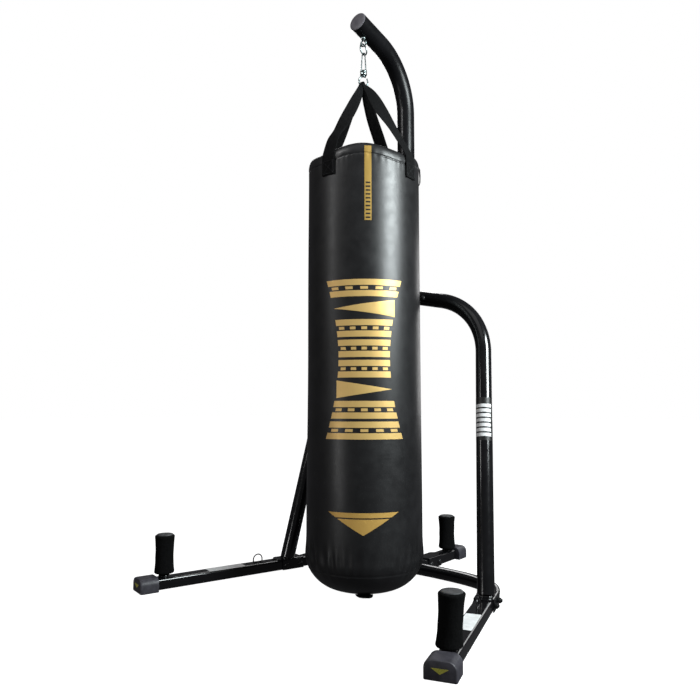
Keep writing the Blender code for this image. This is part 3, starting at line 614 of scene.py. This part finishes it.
# ---- floor tube, uprights and mast
def floor_tube():
    """Round tube bent behind the bag; its ends are pressed to the rails' section."""
    place = LEGS["right"][0]

    def behind(distance, outward=0.0):
        spot = place @ Vector((outward, 0, -distance))
        return Vector((spot.x, spot.y, BASE_Z))

    run = [behind(0.001), behind(0.03), behind(BASE_SQUARE), behind(0.09, 0.002),
           Vector((0.35, BAG.y + 0.1855, BASE_Z)), Vector((0.262, BAG.y + 0.2315, BASE_Z)),
           Vector((0.13, BAG.y + 0.254, BASE_Z)), Vector((0.0, MAST.y, BASE_Z))]
    path = smooth_path(run + [mirrored(p) for p in reversed(run[:-1])], 12)
    rings = []
    for i, spot in enumerate(path):
        across = UP.cross(heading(path, i))
        away = min((spot.xy - path[0].xy).length, (spot.xy - path[-1].xy).length)
        share = clamped((BASE_ROUND - away) / (BASE_ROUND - BASE_SQUARE))
        pressed = share * share * (3 - 2 * share)
        wide = BASE_R + (RAIL_W / 2 - BASE_R) * pressed
        high = BASE_R + ((RAIL_TOP - RAIL_BOTTOM) / 2 - BASE_R) * pressed
        drop = (BASE_Z - (RAIL_BOTTOM + RAIL_TOP) / 2) * pressed
        power = 2 / (2 + 4 * pressed)
        rings.append([spot + across * wide * copysign(abs(c) ** power, c)
                      + UP * (high * copysign(abs(s) ** power, s) - drop) for c, s in circle(1.0, 48)])
    bm = loft(bmesh.new(), rings)
    stub = rounded_box(RAIL_W, RAIL_BOTTOM, RAIL_TOP, RAIL_R)
    place = LEGS["rear"][0]
    start = MAST.y - REAR_JOINT.y + 0.01
    loft(bm, [placed(place, stub, z) for z in (start, -0.001)])
    painted("floor_tube", bm, "base_frame")


def on_mast(z):
    return Vector((0, MAST.y, z))


def tube(name, node, path, radius, wall, sides=48, paint=PAINT):
    bm = sweep(bmesh.new(), path, circle(radius, sides), wall_section=circle(radius - wall, sides))
    painted(name, bm, node, mat=paint)


def side_tube(side, elbow, foot):
    """Upright with its bolt on the mast's bracket and its weld on the saddle."""
    outward = (elbow - on_mast(BRACKET_Z)).normalized()
    path = fillet_path(on_mast(BRACKET_Z) + outward * 0.043, elbow, foot, ELBOW_R, 40)
    tube(side + "_upright", side + "_side_tube", path, TUBE_R, TUBE_WALL)
    fastener(side + "_tube", "", on_mast(BRACKET_Z) + outward * 0.085, (0, 1, 0), 2 * TUBE_R)
    painted(side + "_upright_weld",
            weld_bead(bmesh.new(), foot + UP * 0.0004, TUBE_R, 0.0019, ripple=0.0005))


def sticker():
    """Plain banded sticker wrapped round the front of the right upright."""
    line = (JOINT + UP * SADDLE_TOP - ELBOW).normalized()

    def spot(z, azimuth, lift):
        centre = ELBOW + line * ((z - ELBOW.z) / line.z)
        out = Vector((cos(azimuth), sin(azimuth), 0))
        out = (out - line * out.dot(line)).normalized()
        return centre + out * (TUBE_R + lift)

    def patch(bm, low, high, start, stop, lift):
        corners = ((low, -0.0002), (high, -0.0002), (high, lift), (low, lift))
        return loft(bm, [[spot(z, radians(start + (stop - start) * c / 24), rise) for c in range(25)]
                         for z, rise in corners], closed=False, cyclic=True)

    painted("upright_sticker", patch(bmesh.new(), 0.474, 0.606, -150, 6, 0.00018), mat=INK)
    bm = bmesh.new()
    low, high, count = 0.484, 0.588, 7
    pitch = (high - low) / count
    for i in range(count):
        waist = 6 * sin(pi * (i + 0.5) / count)
        patch(bm, low + pitch * (i + 0.16), low + pitch * (i + 0.84), -134, -8 - waist, 0.0003)
    painted("upright_sticker_bands", bm, mat=LABEL)


def mast():
    """Socket, lower mast, spigot, arm with its end cap, and the bracket for the side tubes."""
    foot, split = MAST_LOW.z, MAST_HIGH.z
    tube("mast_post", "mast_lower", [on_mast(foot), on_mast(split)], MAST_R, MAST_WALL, 64, MAST_PAINT)
    bend = arc((MAST.y - ARM_BEND_R, ARM_BEND_Z), ARM_BEND_R, 0, 90 - degrees(ARM_PITCH), 48)
    last_y, last_z = bend[-1]
    tip = Vector((0, ARM_TIP_Y, last_z + (last_y - ARM_TIP_Y) * tan(ARM_PITCH)))
    path = [on_mast(ARM_START)] + [Vector((0, y, z)) for y, z in bend] + [tip]
    tube("curved_arm", "mast_arm", path, MAST_R, MAST_WALL, 64, MAST_PAINT)

    outward = Vector((0, -cos(ARM_PITCH), sin(ARM_PITCH)))
    cap = [(0, 0.0046), (0.012, 0.0044), (0.022, 0.0038), (MAST_R - 0.003, 0.0029),
           (MAST_R - 0.001, 0.0019), (MAST_R - 0.0002, 0.0006), (MAST_R - MAST_WALL - 0.002, 0.0006),
           (MAST_R - MAST_WALL - 0.003, -0.012), (0, -0.012)]
    piece("arm_cap_disc", turn(bmesh.new(), cap, along(tip, outward), 64), END_PLASTIC, "stand",
          "arm_cap_plastic", "arm_end_cap")

    plate_low, cup_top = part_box("mast_socket")[0].z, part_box("mast_socket")[1].z
    bore, plate_top, axis = MAST_R + GAP, plate_low + 0.005, Matrix.Translation(on_mast(0))
    cup = soften([(0, plate_top), (bore, plate_top), (bore, cup_top), (SLEEVE_R, cup_top),
                  (SLEEVE_R, plate_low), (0, plate_low)], 0.0008)
    bm = turn(bmesh.new(), cup, axis, 64)
    x, y = 0.05, 0.032
    plate = soften([(-x, -y), (x, -y), (x, y), (-x, y)], 0.008, 5, closed=True)
    loft(bm, [placed(axis, plate, z) for z in (plate_low, plate_top)])
    weld_bead(bm, on_mast(plate_low + 0.0056), SLEEVE_R, 0.0022)
    painted("mast_foot_socket", bm, "mast_socket")

    low, high = BRACKET_Z - BRACKET_H / 2, BRACKET_Z + BRACKET_H / 2
    sleeve = soften([(bore, high), (SLEEVE_R, high), (SLEEVE_R, low), (bore, low)], 0.001, 3, closed=True)
    bm = turn(bmesh.new(), sleeve + sleeve[:1], axis, 64)
    merge(bm)
    centre, spigot_r, spigot_end = on_mast(BRACKET_Z), TUBE_R - TUBE_WALL - 5 * GAP, 0.091
    for elbow in (ELBOW, mirrored(ELBOW)):
        outward = (elbow - centre).normalized()
        turn(bm, [(0, 0.0), (spigot_r, 0.0), (spigot_r, spigot_end - 0.001), (spigot_r - 0.001, spigot_end),
                  (0, spigot_end)], along(centre + outward * (SLEEVE_R - 0.002), outward), 48)
    painted("side_tube_bracket", bm, "mast_bracket")
    fastener("mast_joint", "", on_mast(split + 0.04), (0, 1, 0), 2 * MAST_R)


# ---- hanging hardware
def upright_ring(z, radius, across, wire):
    """A wire ring on the bag's axis."""
    path = [BAG + across * x + UP * (z + y) for x, y in circle(radius, 64)]
    return sweep(bmesh.new(), path, circle(wire, 20), True)


def hardware():
    axis = Matrix.Translation(BAG)
    nut_low, nut_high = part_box("eye_nut")[0].z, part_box("eye_nut")[1].z
    shank_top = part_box("eyebolt")[1].z
    crest, pitch = 0.0045, 0.001
    shank = [(0, EYE_Z + EYE_R - 0.001), (crest, EYE_Z + EYE_R - 0.001)]
    z = nut_low - 0.004
    while z < shank_top - 0.002:
        shank += [(crest, z), (crest - 0.0005, z + pitch / 2)]
        z += pitch
    shank += [(0.0038, shank_top), (0, shank_top)]
    bm = upright_ring(EYE_Z, EYE_R, Vector((1, 0, 0)), EYE_WIRE)
    plated("eye_screw", turn(bm, shank, axis, 32), "stand", "eyebolt")
    rings = [placed(axis, hexagon(share, 20), z) for z, share in
             ((nut_low, 0.91), (nut_low + 0.001, 1.0), (nut_high - 0.001, 1.0), (nut_high, 0.91))]
    plated("eye_screw_nut", loft(bmesh.new(), rings), "stand", "eye_nut")
    plated("round_ring", upright_ring(RING_Z, RING_R, Vector((0, 1, 0)), RING_WIRE), "ring", "hanging_ring")

    bend = arc((0, BAIL_Z - BAIL_TOP_R), BAIL_TOP_R, 165, 15, 16)
    feet, half = YOKE_TOP - 0.0034, 0.0092
    bail = [(-half, feet), (-0.009, feet + 0.02)] + bend + [(0.009, feet + 0.02), (half, feet)]
    bm = sweep(bmesh.new(), [BAG + Vector((x, 0, z)) for x, z in bail], circle(BAIL_WIRE, 18))
    barrel = soften([
        (0, YOKE_TOP), (YOKE_R, YOKE_TOP), (YOKE_R, YOKE_TOP - 0.004),
        (YOKE_R - 0.0012, YOKE_TOP - 0.0048), (YOKE_R - 0.0012, YOKE_TOP - 0.0066),
        (YOKE_R, YOKE_TOP - 0.0074), (YOKE_R, YOKE_BOTTOM), (0.0045, YOKE_BOTTOM),
        (0.0045, YOKE_BOTTOM + 0.005), (0.0075, YOKE_BOTTOM + 0.005),
        (0.0075, YOKE_TOP - 0.004), (0, YOKE_TOP - 0.004)], 0.0009)
    turn(bm, barrel, axis, 48)
    for x in (-half, half):
        turn(bm, [(0, 0.003), (0.003, 0.0022), (0.0036, 0.0), (0, -0.001)],
             Matrix.Translation(BAG + Vector((x, 0, YOKE_TOP))), 24)
    plated("swivel_with_bail", bm, "yoke", "swivel_yoke")

    lower = arc((0, HOOK_Z), HOOK_R, -10, -180, 40)
    shoulder = [Vector(p) for p in (
        (-HOOK_R, HOOK_Z), (-HOOK_R, HOOK_Z + 0.01),
        (-0.0105, HOOK_TOP - 0.004), (-0.005, HOOK_TOP - 0.0008),
        (0.0, HOOK_TOP), (0.008, HOOK_TOP - 0.002))]
    wire = [Vector(p) for p in lower[:-1]] + smooth_path(shoulder, 8)
    bm = sweep(bmesh.new(), [BAG + HOOK_AXIS * p.x + UP * p.y for p in wire], circle(HOOK_WIRE, 20))
    stem_low, stem_high = HOOK_TOP - 0.001, YOKE_BOTTOM + 0.0065
    button = soften([(0, stem_high + 0.0025), (0.0065, stem_high + 0.0025), (0.0065, stem_high),
                     (0.004, stem_high), (0.004, stem_low), (0, stem_low)], 0.0006)
    plated("snap_hook_forging", turn(bm, button, axis, 32), "bag", "snap_hook")
    gate = [BAG + HOOK_AXIS * x + UP * z for x, z in ((0.0115, HOOK_TOP - 0.007), (HOOK_R, HOOK_Z - 0.0005))]
    plated("sprung_gate", sweep(bmesh.new(), gate, circle(GATE_R, 20)), "gate", "hook_gate")


# ---- bag
def rim_height(phi):
    return RIM_LOW + RIM_SWELL * sin(2 * (phi + radians(10))) ** 2


def bell(value, middle, width):
    return exp(-((value - middle) / width) ** 2)


def turned_gap(a, b):
    """Signed angle from b to a, between -pi and pi."""
    return (a - b + pi) % (tau) - pi


BOTTOM_SEAM, SEAM_WIDTH = 0.085, 0.0022
BACK_SEAM = FRONT_FACE + pi
CREASES = [(-0.47, 1.045, 0.2, 0.035), (-0.4, 0.455, 0.24, 0.03), (1.5, 0.62, 0.3, 0.05),
           (2.9, 0.98, 0.26, 0.04), (-2.2, 0.5, 0.22, 0.03)]  # angle, height and spread
SHOULDER, SHOULDER_IN = 0.03, 0.016


def bag_relief(phi, z):
    """How far the skin stands out from its plain shape: seams, puckers, gathers and creases."""
    seam = rim_height(phi) - 0.037  # the collar's
    below = seam - z
    height = 0.0006 if below < 0 else 0.0
    height -= 0.0016 * bell(z, seam, SEAM_WIDTH)
    if 0 < below < 0.06:
        pucker = 0.5 + 0.5 * noise.noise(Vector((phi * 6, 3.0, 0)))
        height += 0.0011 * pucker * sin(phi * 57 + 2 * sin(phi * 5)) * exp(-below / 0.014)
    elif below <= 0:
        height += 0.0005 * sin(phi * 41 + sin(phi * 7)) * exp(below / 0.012)
    slack = 0.2 + sin(phi - FRONT_FACE) ** 2
    gather = bell(z, 0.118, 0.036) * slack * (0.6 + 0.8 * abs(noise.noise(Vector((phi * 2.2, 9.0, 0)))))
    lean = 14.0 * (z - 0.1) * sin(3 * phi)
    height += 0.0036 * gather * sin(phi * 34 + 2.6 * sin(phi * 5) + lean)
    height -= 0.0015 * bell(z, BOTTOM_SEAM, SEAM_WIDTH)
    height += 0.0008 * bell(z, BOTTOM_SEAM - 0.0045, 0.0026)
    height -= 0.0014 * bell(turned_gap(phi, BACK_SEAM) * BAG_R, 0.0, SEAM_WIDTH)
    for middle, level, wide, tall in CREASES:
        fade = bell(turned_gap(phi, middle), 0.0, wide) * bell(z, level, tall)
        if fade > 0.02:
            wave = sin((z + 0.01 * sin(phi * 9)) * tau / 0.012 + phi * 7)
            height += 0.00045 * fade * wave
    height += 0.0011 * noise.noise(Vector((cos(phi) * 1.6, sin(phi) * 1.6, z * 2.4)))
    return height


def clamped(share):
    return min(max(share, 0.0), 1.0)


def wall_radius(z):
    """The bag is a little wider in its lower half."""
    return BAG_R + (BAG_R_LOW - BAG_R) * clamped((0.75 - z) / 0.45)


def around_bag(phi, radius, z):
    return Vector((BAG.x + radius * cos(phi), BAG.y + radius * sin(phi), z))


def turns(columns):
    return [tau * i / columns for i in range(columns)]


def bag_point(phi, z, lift=0.0):
    """A point on the bag's side, shoulder included."""
    radius = wall_radius(z) + bag_relief(phi, z) + lift
    rise = clamped((z - rim_height(phi) + SHOULDER) / SHOULDER)
    radius -= SHOULDER_IN * (1 - sqrt(1 - rise * rise))
    dip = clamped((BAG_BOTTOM + BAG_CURVE_Z - z) / BAG_CURVE_Z)
    radius -= BAG_CURVE_R * (1 - sqrt(1 - dip * dip))
    return around_bag(phi, radius, z)


def bag_ring(height, columns, radius=None):
    """One ring of points; height is a number or a function of the angle."""
    ring = []
    for phi in turns(columns):
        z = height(phi) if callable(height) else height
        ring.append(bag_point(phi, z) if radius is None else around_bag(phi, radius, z))
    return ring


def bag_skin():
    columns = 360
    flat = BAG_R_LOW - BAG_CURVE_R
    rings = [bag_ring(BAG_BOTTOM, columns, flat * share) for share in (0.05, 0.35, 0.65, 0.9)]
    steps = 56
    for step in range(1, steps):
        lift = 1 - cos(radians(90 * step / steps))
        rings.append(bag_ring(BAG_BOTTOM + BAG_CURVE_Z * lift, columns))
    z = BAG_BOTTOM + BAG_CURVE_Z
    while z < 1.316:
        rings.append(bag_ring(z, columns))
        z += 0.0016 if z < 0.175 else 0.006
    for step in range(49):
        share = sin(step / 48 * pi / 2)
        rings.append(bag_ring(lambda phi: z + (rim_height(phi) - 0.0002 - z) * share, columns))
    lip = BAG_R - SHOULDER_IN - 0.002
    rings += [bag_ring(rim_height, columns, lip),
              bag_ring(lambda phi: rim_height(phi) - 0.0012, columns, lip - 0.0015)]
    for radius, drop in ((0.1635, 0.002), (0.163, 0.006), (0.1, 0.006), (0.01, 0.006)):
        rings.append(bag_ring(RIM_LOW - drop, columns, radius))
    skin = piece("leather_bag", loft(bmesh.new(), rings), LEATHER, "bag", "bag_leather",
                 "bag_cover", "bag_filling", sharp=180.0)


def bag_top():
    """Gathered leather lid, a little domed."""
    edge, rings = 0.1625, []
    for radius, drop in ((0.004, 0), (0.03, 0), (0.06, 0), (0.09, 0), (0.12, 0), (0.14, 0), (0.15, 0),
                         (0.157, 0), (0.1615, 0), (edge, 0.0015), (0.1618, 0.004)):
        dome = 0.004 * (1 - (radius / edge) ** 2)
        gather = 0.0012 * bell(radius, 0.15, 0.02)
        rings.append([around_bag(phi, radius, RIM_LOW - 0.001 + dome
                                 + gather * sin(phi * 38 + 2 * sin(phi * 5)) - drop)
                      for phi in turns(240)])
    piece("leather_lid", loft(bmesh.new(), rings), LEATHER, "bag", "bag_leather", "bag_lid", sharp=180.0)


def on_bag(bm, across, low, high, lift, rows=None):
    """A thin printed patch on the bag: across(z) gives its start and stop angle."""
    rows, columns = rows or max(2, int((high - low) / 0.004)), 48
    layers = []
    for rise in (-0.0004, lift):
        layer = []
        for r in range(rows + 1):
            z = low + (high - low) * r / rows
            start, stop = across(z)
            layer.append([bag_point(start + (stop - start) * c / columns, z, rise)
                          for c in range(columns + 1)])
        layers.append(layer)
        loft(bm, layer, closed=False)
    under, over = layers
    for r in (0, -1):
        loft(bm, [[under[r][c], over[r][c]] for c in range(columns + 1)], closed=False)
    for c in (0, -1):
        loft(bm, [[under[r][c], over[r][c]] for r in range(rows + 1)], closed=False)
    merge(bm)


def print_piece(name, bm, mat):
    piece(name, bm, mat, "bag", "bag_leather", sharp=60.0)


def stripe():
    middle, half = radians(-49.2), radians(3.4)
    bm = bmesh.new()
    on_bag(bm, lambda z: (middle - half, middle + half), 1.15, 1.386, PRINT_LIFT, rows=160)
    print_piece("gold_stripe", bm, GOLD_DEEP)
    bm = bmesh.new()
    first, pitch, tall, reach = 1.156, 0.0122, 0.0048, half * 0.66
    for i in range(10):
        low = first + pitch * i
        on_bag(bm, lambda z: (middle - reach, middle + reach), low, low + tall, PRINT_LIFT + 0.0002, rows=2)
    print_piece("stripe_ticks", bm, INK)


def gold_block():
    """Plain bars and wedges in an hourglass, in place of lettering."""
    middle, centre, half_height = FRONT_FACE - radians(1.1), 0.727, 0.246

    def half_width(z):
        return radians(25.0 + 14.5 * abs((z - centre) / half_height) ** 1.9)

    bm = bmesh.new()

    def bar(low, high, start=-1.0, stop=1.0):
        on_bag(bm, lambda z: (middle + half_width(z) * start, middle + half_width(z) * stop), low, high,
               PRINT_LIFT)

    def wedge(low, high, side):
        """A long wedge: a point at one side, the full height at the other."""
        mid = (low + high) / 2

        def across(z):
            tip = side * (3.92 * abs(z - mid) / (high - low) - 0.98)
            ends = sorted((tip, side * 0.99))
            return middle + half_width(mid) * ends[0], middle + half_width(mid) * ends[1]
        on_bag(bm, across, low, high, PRINT_LIFT, rows=20)

    count = 8
    pitch = 2 * half_height / count
    for i in range(count):
        low = centre - half_height + pitch * i
        if i in (2, 6):
            wedge(low + 0.06 * pitch, low + 0.92 * pitch, 1 if i == 6 else -1)
            continue
        bar(low + 0.06 * pitch, low + 0.36 * pitch)
        for start in (-0.9, -0.5, -0.1, 0.3, 0.7):
            bar(low + 0.42 * pitch, low + 0.56 * pitch, start, start + 0.2)
        bar(low + 0.62 * pitch, low + 0.92 * pitch)
    print_piece("gold_bars", bm, GOLD)


def gold_emblem():
    """Plain solid wedge, point down, with a slit across it."""
    middle, top, bottom = FRONT_FACE - radians(2.3), 0.27, 0.205
    half_width, slit_low, slit_high = radians(34.5), 0.2515, 0.2555
    bm = bmesh.new()

    def across(z):
        reach = half_width * (z - bottom) / (top - bottom) + radians(0.1)
        return middle - reach, middle + reach

    on_bag(bm, across, slit_high, top, PRINT_LIFT)
    on_bag(bm, across, bottom, slit_low, PRINT_LIFT, rows=12)
    print_piece("gold_wedge", bm, GOLD_LOW)


# ---- straps
def band_ring(centre, across, normal, width, thick):
    """Closed section of a webbing band: flat faces and rounded edges."""
    half, h = width / 2 - thick / 2, thick / 2
    section = [(half * s, -h) for s in (-1, -0.6, -0.2, 0.2, 0.6, 1)]
    section += [(half + h * 0.87, -h * 0.5), (half + h, 0), (half + h * 0.87, h * 0.5)]
    section += [(-x, -y) for x, y in section]
    return [centre + across * x + normal * y for x, y in section], [x for x, y in section]


def strap_loop(bm, out, legs):
    """One strap over the hook; its two legs are given from the foot up."""
    near, far = legs
    spots = [(r, z, w, t) for r, z, w, t in near] + [(-r, z, w, -t) for r, z, w, t in reversed(far)]
    line = smooth_path([Vector((r, z, 0)) for r, z, w, t in spots], 10)
    shape = smooth_path([Vector((w, t, 0)) for r, z, w, t in spots], 10)
    rings, uvs = [], []
    travelled, side = 0.0, UP.cross(out)
    places = [BAG + UP * p.y + out * p.x for p in line]
    for i, spot in enumerate(places):
        if i:
            travelled += (spot - places[i - 1]).length
        ahead = heading(places, i)
        across = Matrix.Rotation(radians(shape[i].y), 3, ahead) @ side
        normal = ahead.cross(across)
        near_hook = max(0.0, 1 - abs(line[i].x) / 0.03)
        ring, over = band_ring(spot - HOOK_AXIS * 0.004 * near_hook, across, normal, shape[i].x, STRAP_T)
        rings.append(ring)
        uvs.append([(travelled, x) for x in over])
    return loft(bm, rings, uvs=uvs)


# each strap point: radius, height, width and twist in degrees
FOOT = [(STRAP_R, 1.305, STRAP_W, 0.0), (STRAP_R, 1.34, STRAP_W, 0.0),
        (STRAP_R - 0.0008, 1.362, STRAP_W, 0.0), (STRAP_R - 0.0055, 1.384, STRAP_W, 0.0)]
LEFT_LEG = FOOT + [(0.154, 1.434, 0.049, 0.0), (0.122, 1.474, 0.048, 3.0), (0.091, 1.52, 0.046, 8.0),
                   (0.059, 1.57, 0.036, 16.0), (0.032, 1.618, 0.03, 22.0), (0.014, 1.652, 0.02, 22.0)]
RIGHT_LEG = FOOT + [
    (0.16, 1.42, 0.05, -4.0), (0.141, 1.452, 0.05, -6.0), (0.118, 1.49, 0.05, -10.0),
    (0.093, 1.53, 0.049, -22.0), (0.067, 1.572, 0.046, -38.0), (0.042, 1.615, 0.038, -50.0),
    (0.019, 1.652, 0.024, -50.0)]
FRONT_LEG = FOOT + [(0.16, 1.434, 0.049, 0.0), (0.128, 1.474, 0.048, 6.0), (0.097, 1.52, 0.046, 20.0),
                    (0.064, 1.57, 0.04, 36.0), (0.035, 1.618, 0.032, 52.0), (0.015, 1.652, 0.022, 52.0)]
REAR_LEG = FOOT + [(0.148, 1.434, 0.049, 0.0), (0.114, 1.474, 0.048, 0.0), (0.083, 1.52, 0.046, 4.0),
                   (0.05, 1.57, 0.042, 8.0), (0.026, 1.618, 0.036, 10.0), (0.012, 1.652, 0.024, 10.0)]


def stitches(bm, out, foot_low, foot_high):
    """Box and cross of thread stitches on a strap's foot."""
    half = STRAP_W / 2 - 0.005
    corners = [(-half, foot_low), (half, foot_low), (half, foot_high), (-half, foot_high)]
    lines = list(zip(corners, corners[1:] + corners[:1])) + [corners[::2], corners[1::2]]
    for (x0, z0), (x1, z1) in lines:
        count = int(hypot(x1 - x0, z1 - z0) / 0.0042)
        for k in range(count):
            ends = []
            for share in ((k + 0.15) / count, (k + 0.85) / count):
                x, z = x0 + (x1 - x0) * share, z0 + (z1 - z0) * share
                ends.append(BAG + UP * z + out * (STRAP_R + STRAP_T / 2 + 0.0001) + UP.cross(out) * x)
            middle = (ends[0] + ends[1]) / 2 + out * 0.0004
            sweep(bm, [ends[0], middle, ends[1]], circle(0.00045, 6))


def straps():
    for name, node, out, apex, near, far in (
            ("webbing_left_right", "strap_left_right", (1, 0, 0), HOOK_Z - 0.0045, RIGHT_LEG, LEFT_LEG),
            ("webbing_front_back", "strap_front_back", (0, 1, 0), HOOK_Z + 0.001, REAR_LEG, FRONT_LEG)):
        bm = strap_loop(bmesh.new(), Vector(out), (near + [(0.0, apex, 0.012, 0.0)], far))
        piece(name, bm, WEBBING, "bag", "strap_webbing", node)
    bm = bmesh.new()
    for out in ((1, 0, 0), (-1, 0, 0), (0, 1, 0), (0, -1, 0)):
        stitches(bm, Vector(out), 1.31, 1.35)
    piece("strap_stitching", bm, THREAD, "bag", "strap_webbing")
    tabs()


def tabs():
    """Folded webbing tab at the bag's side, and the loose end of the seam under its front."""
    bm = bmesh.new()
    phi = radians(38.0)
    out, side = Vector((cos(phi), sin(phi), 0)), Vector((-sin(phi), cos(phi), 0))
    loft(bm, [band_ring(bag_point(phi, z, stand), side, out, 0.024, 0.002)[0] for z, stand in
              ((1.378, 0.0002), (1.372, 0.003), (1.35, 0.0052), (1.328, 0.0044), (1.322, 0.0008))])
    rings = []
    phi = radians(-54.0)
    out, side = Vector((cos(phi), sin(phi), 0)), Vector((-sin(phi), cos(phi), 0))
    for step, (radius, z, width) in enumerate(((0.106, 0.016, 0.054), (0.112, 0.0128, 0.05),
                                               (0.117, 0.0108, 0.04), (0.12, 0.0098, 0.022))):
        centre = BAG + UP * z + out * radius + side * 0.002 * step
        rings.append(band_ring(centre, side, UP, width, 0.0022)[0])
    piece("bag_tabs", loft(bm, rings), WEBBING, "bag", "strap_webbing")


# ---- studio
def lamp(name, azimuth, distance, height, size, power, colour=(1, 1, 1), aim=1.0):
    data = bpy.data.lights.new(name, "AREA")
    data.shape = "RECTANGLE"
    data.size, data.size_y = size
    data.energy = power
    data.color = colour
    obj = add_object(name, data)
    obj.location = around_bag(radians(azimuth), distance, height)
    obj.rotation_euler = (obj.location - BAG - UP * aim).to_track_quat("Z", "Y").to_euler()


def studio():
    bm = bmesh.new()
    bmesh.ops.create_grid(bm, x_segments=8, y_segments=8, size=30.0)
    mesh = bpy.data.meshes.new("floor")
    bm.to_mesh(mesh)
    bm.free()
    mesh.materials.append(FLOOR)
    floor = add_object("floor", mesh)
    floor.visible_glossy = False
    floor.visible_diffuse = False

    world = bpy.data.worlds.new("studio")
    bpy.context.scene.world = world
    world.use_nodes = True
    tree = world.node_tree
    back = tree.nodes["Background"]
    seen = tree.nodes.new("ShaderNodeLightPath")  # white for the camera, dim for the object
    mix = tree.nodes.new("ShaderNodeMix")
    mix.data_type = "RGBA"
    mix.inputs[6].default_value = (0.055, 0.055, 0.058, 1.0)
    mix.inputs[7].default_value = (1.0, 1.0, 1.0, 1.0)
    tree.links.new(seen.outputs["Is Camera Ray"], mix.inputs[0])
    tree.links.new(mix.outputs[2], back.inputs["Color"])

    lamp("key", 2, 2.6, 2.0, (1.1, 1.35), 150, (0.91, 0.99, 1.0))
    lamp("edge", 90, 2.8, 1.15, (1.1, 1.3), 9)
    lamp("back", 130, 3.4, 3.3, (1.8, 1.2), 40)
    lamp("low_left", -103, 3.2, 0.3, (0.5, 0.5), 8)
    lamp("left", -119, 3.0, 2.0, (0.25, 1.5), 10)
    lamp("high_left", -108, 1.3, 2.3, (0.12, 0.12), 5, aim=1.7)
    lamp("top", -60, 1.6, 3.4, (2.0, 2.0), 6, aim=0.6)
    bpy.context.scene.view_settings.view_transform = "Standard"


# ---- assembly
for side, (place, length, nut_side) in LEGS.items():
    name, node = (("rear_rail", "rear_leg") if side == "rear"
                  else (side + "_rail_tube", side + "_rail"))
    rail(name, node, place, length)
    foot_cap(side, place, length)
    weight_peg(side, place, length)
    saddle(side, place)
    across = place.to_3x3().col[0] * nut_side
    for suffix, step in (("_front", BOLT_FRONT), ("_rear", BOLT_REAR)):
        fastener(side + "_saddle", suffix, place @ Vector((0, BOLT_Z, step)), across, 2 * SADDLE_HALF)
    if side != "rear":
        anchor_loop(side, place)
        rail_label(side, place, length)
floor_tube()
foot = JOINT + UP * (SADDLE_TOP + GAP)
side_tube("left", mirrored(ELBOW), mirrored(foot))
side_tube("right", ELBOW, foot)
sticker()
mast()
hardware()
bag_skin()
bag_top()
stripe()
gold_block()
gold_emblem()
straps()
spigot = frame["nodes"]["mast_spigot"]
spigot.data.materials.clear()
spigot.data.materials.append(PAINT)

studio()
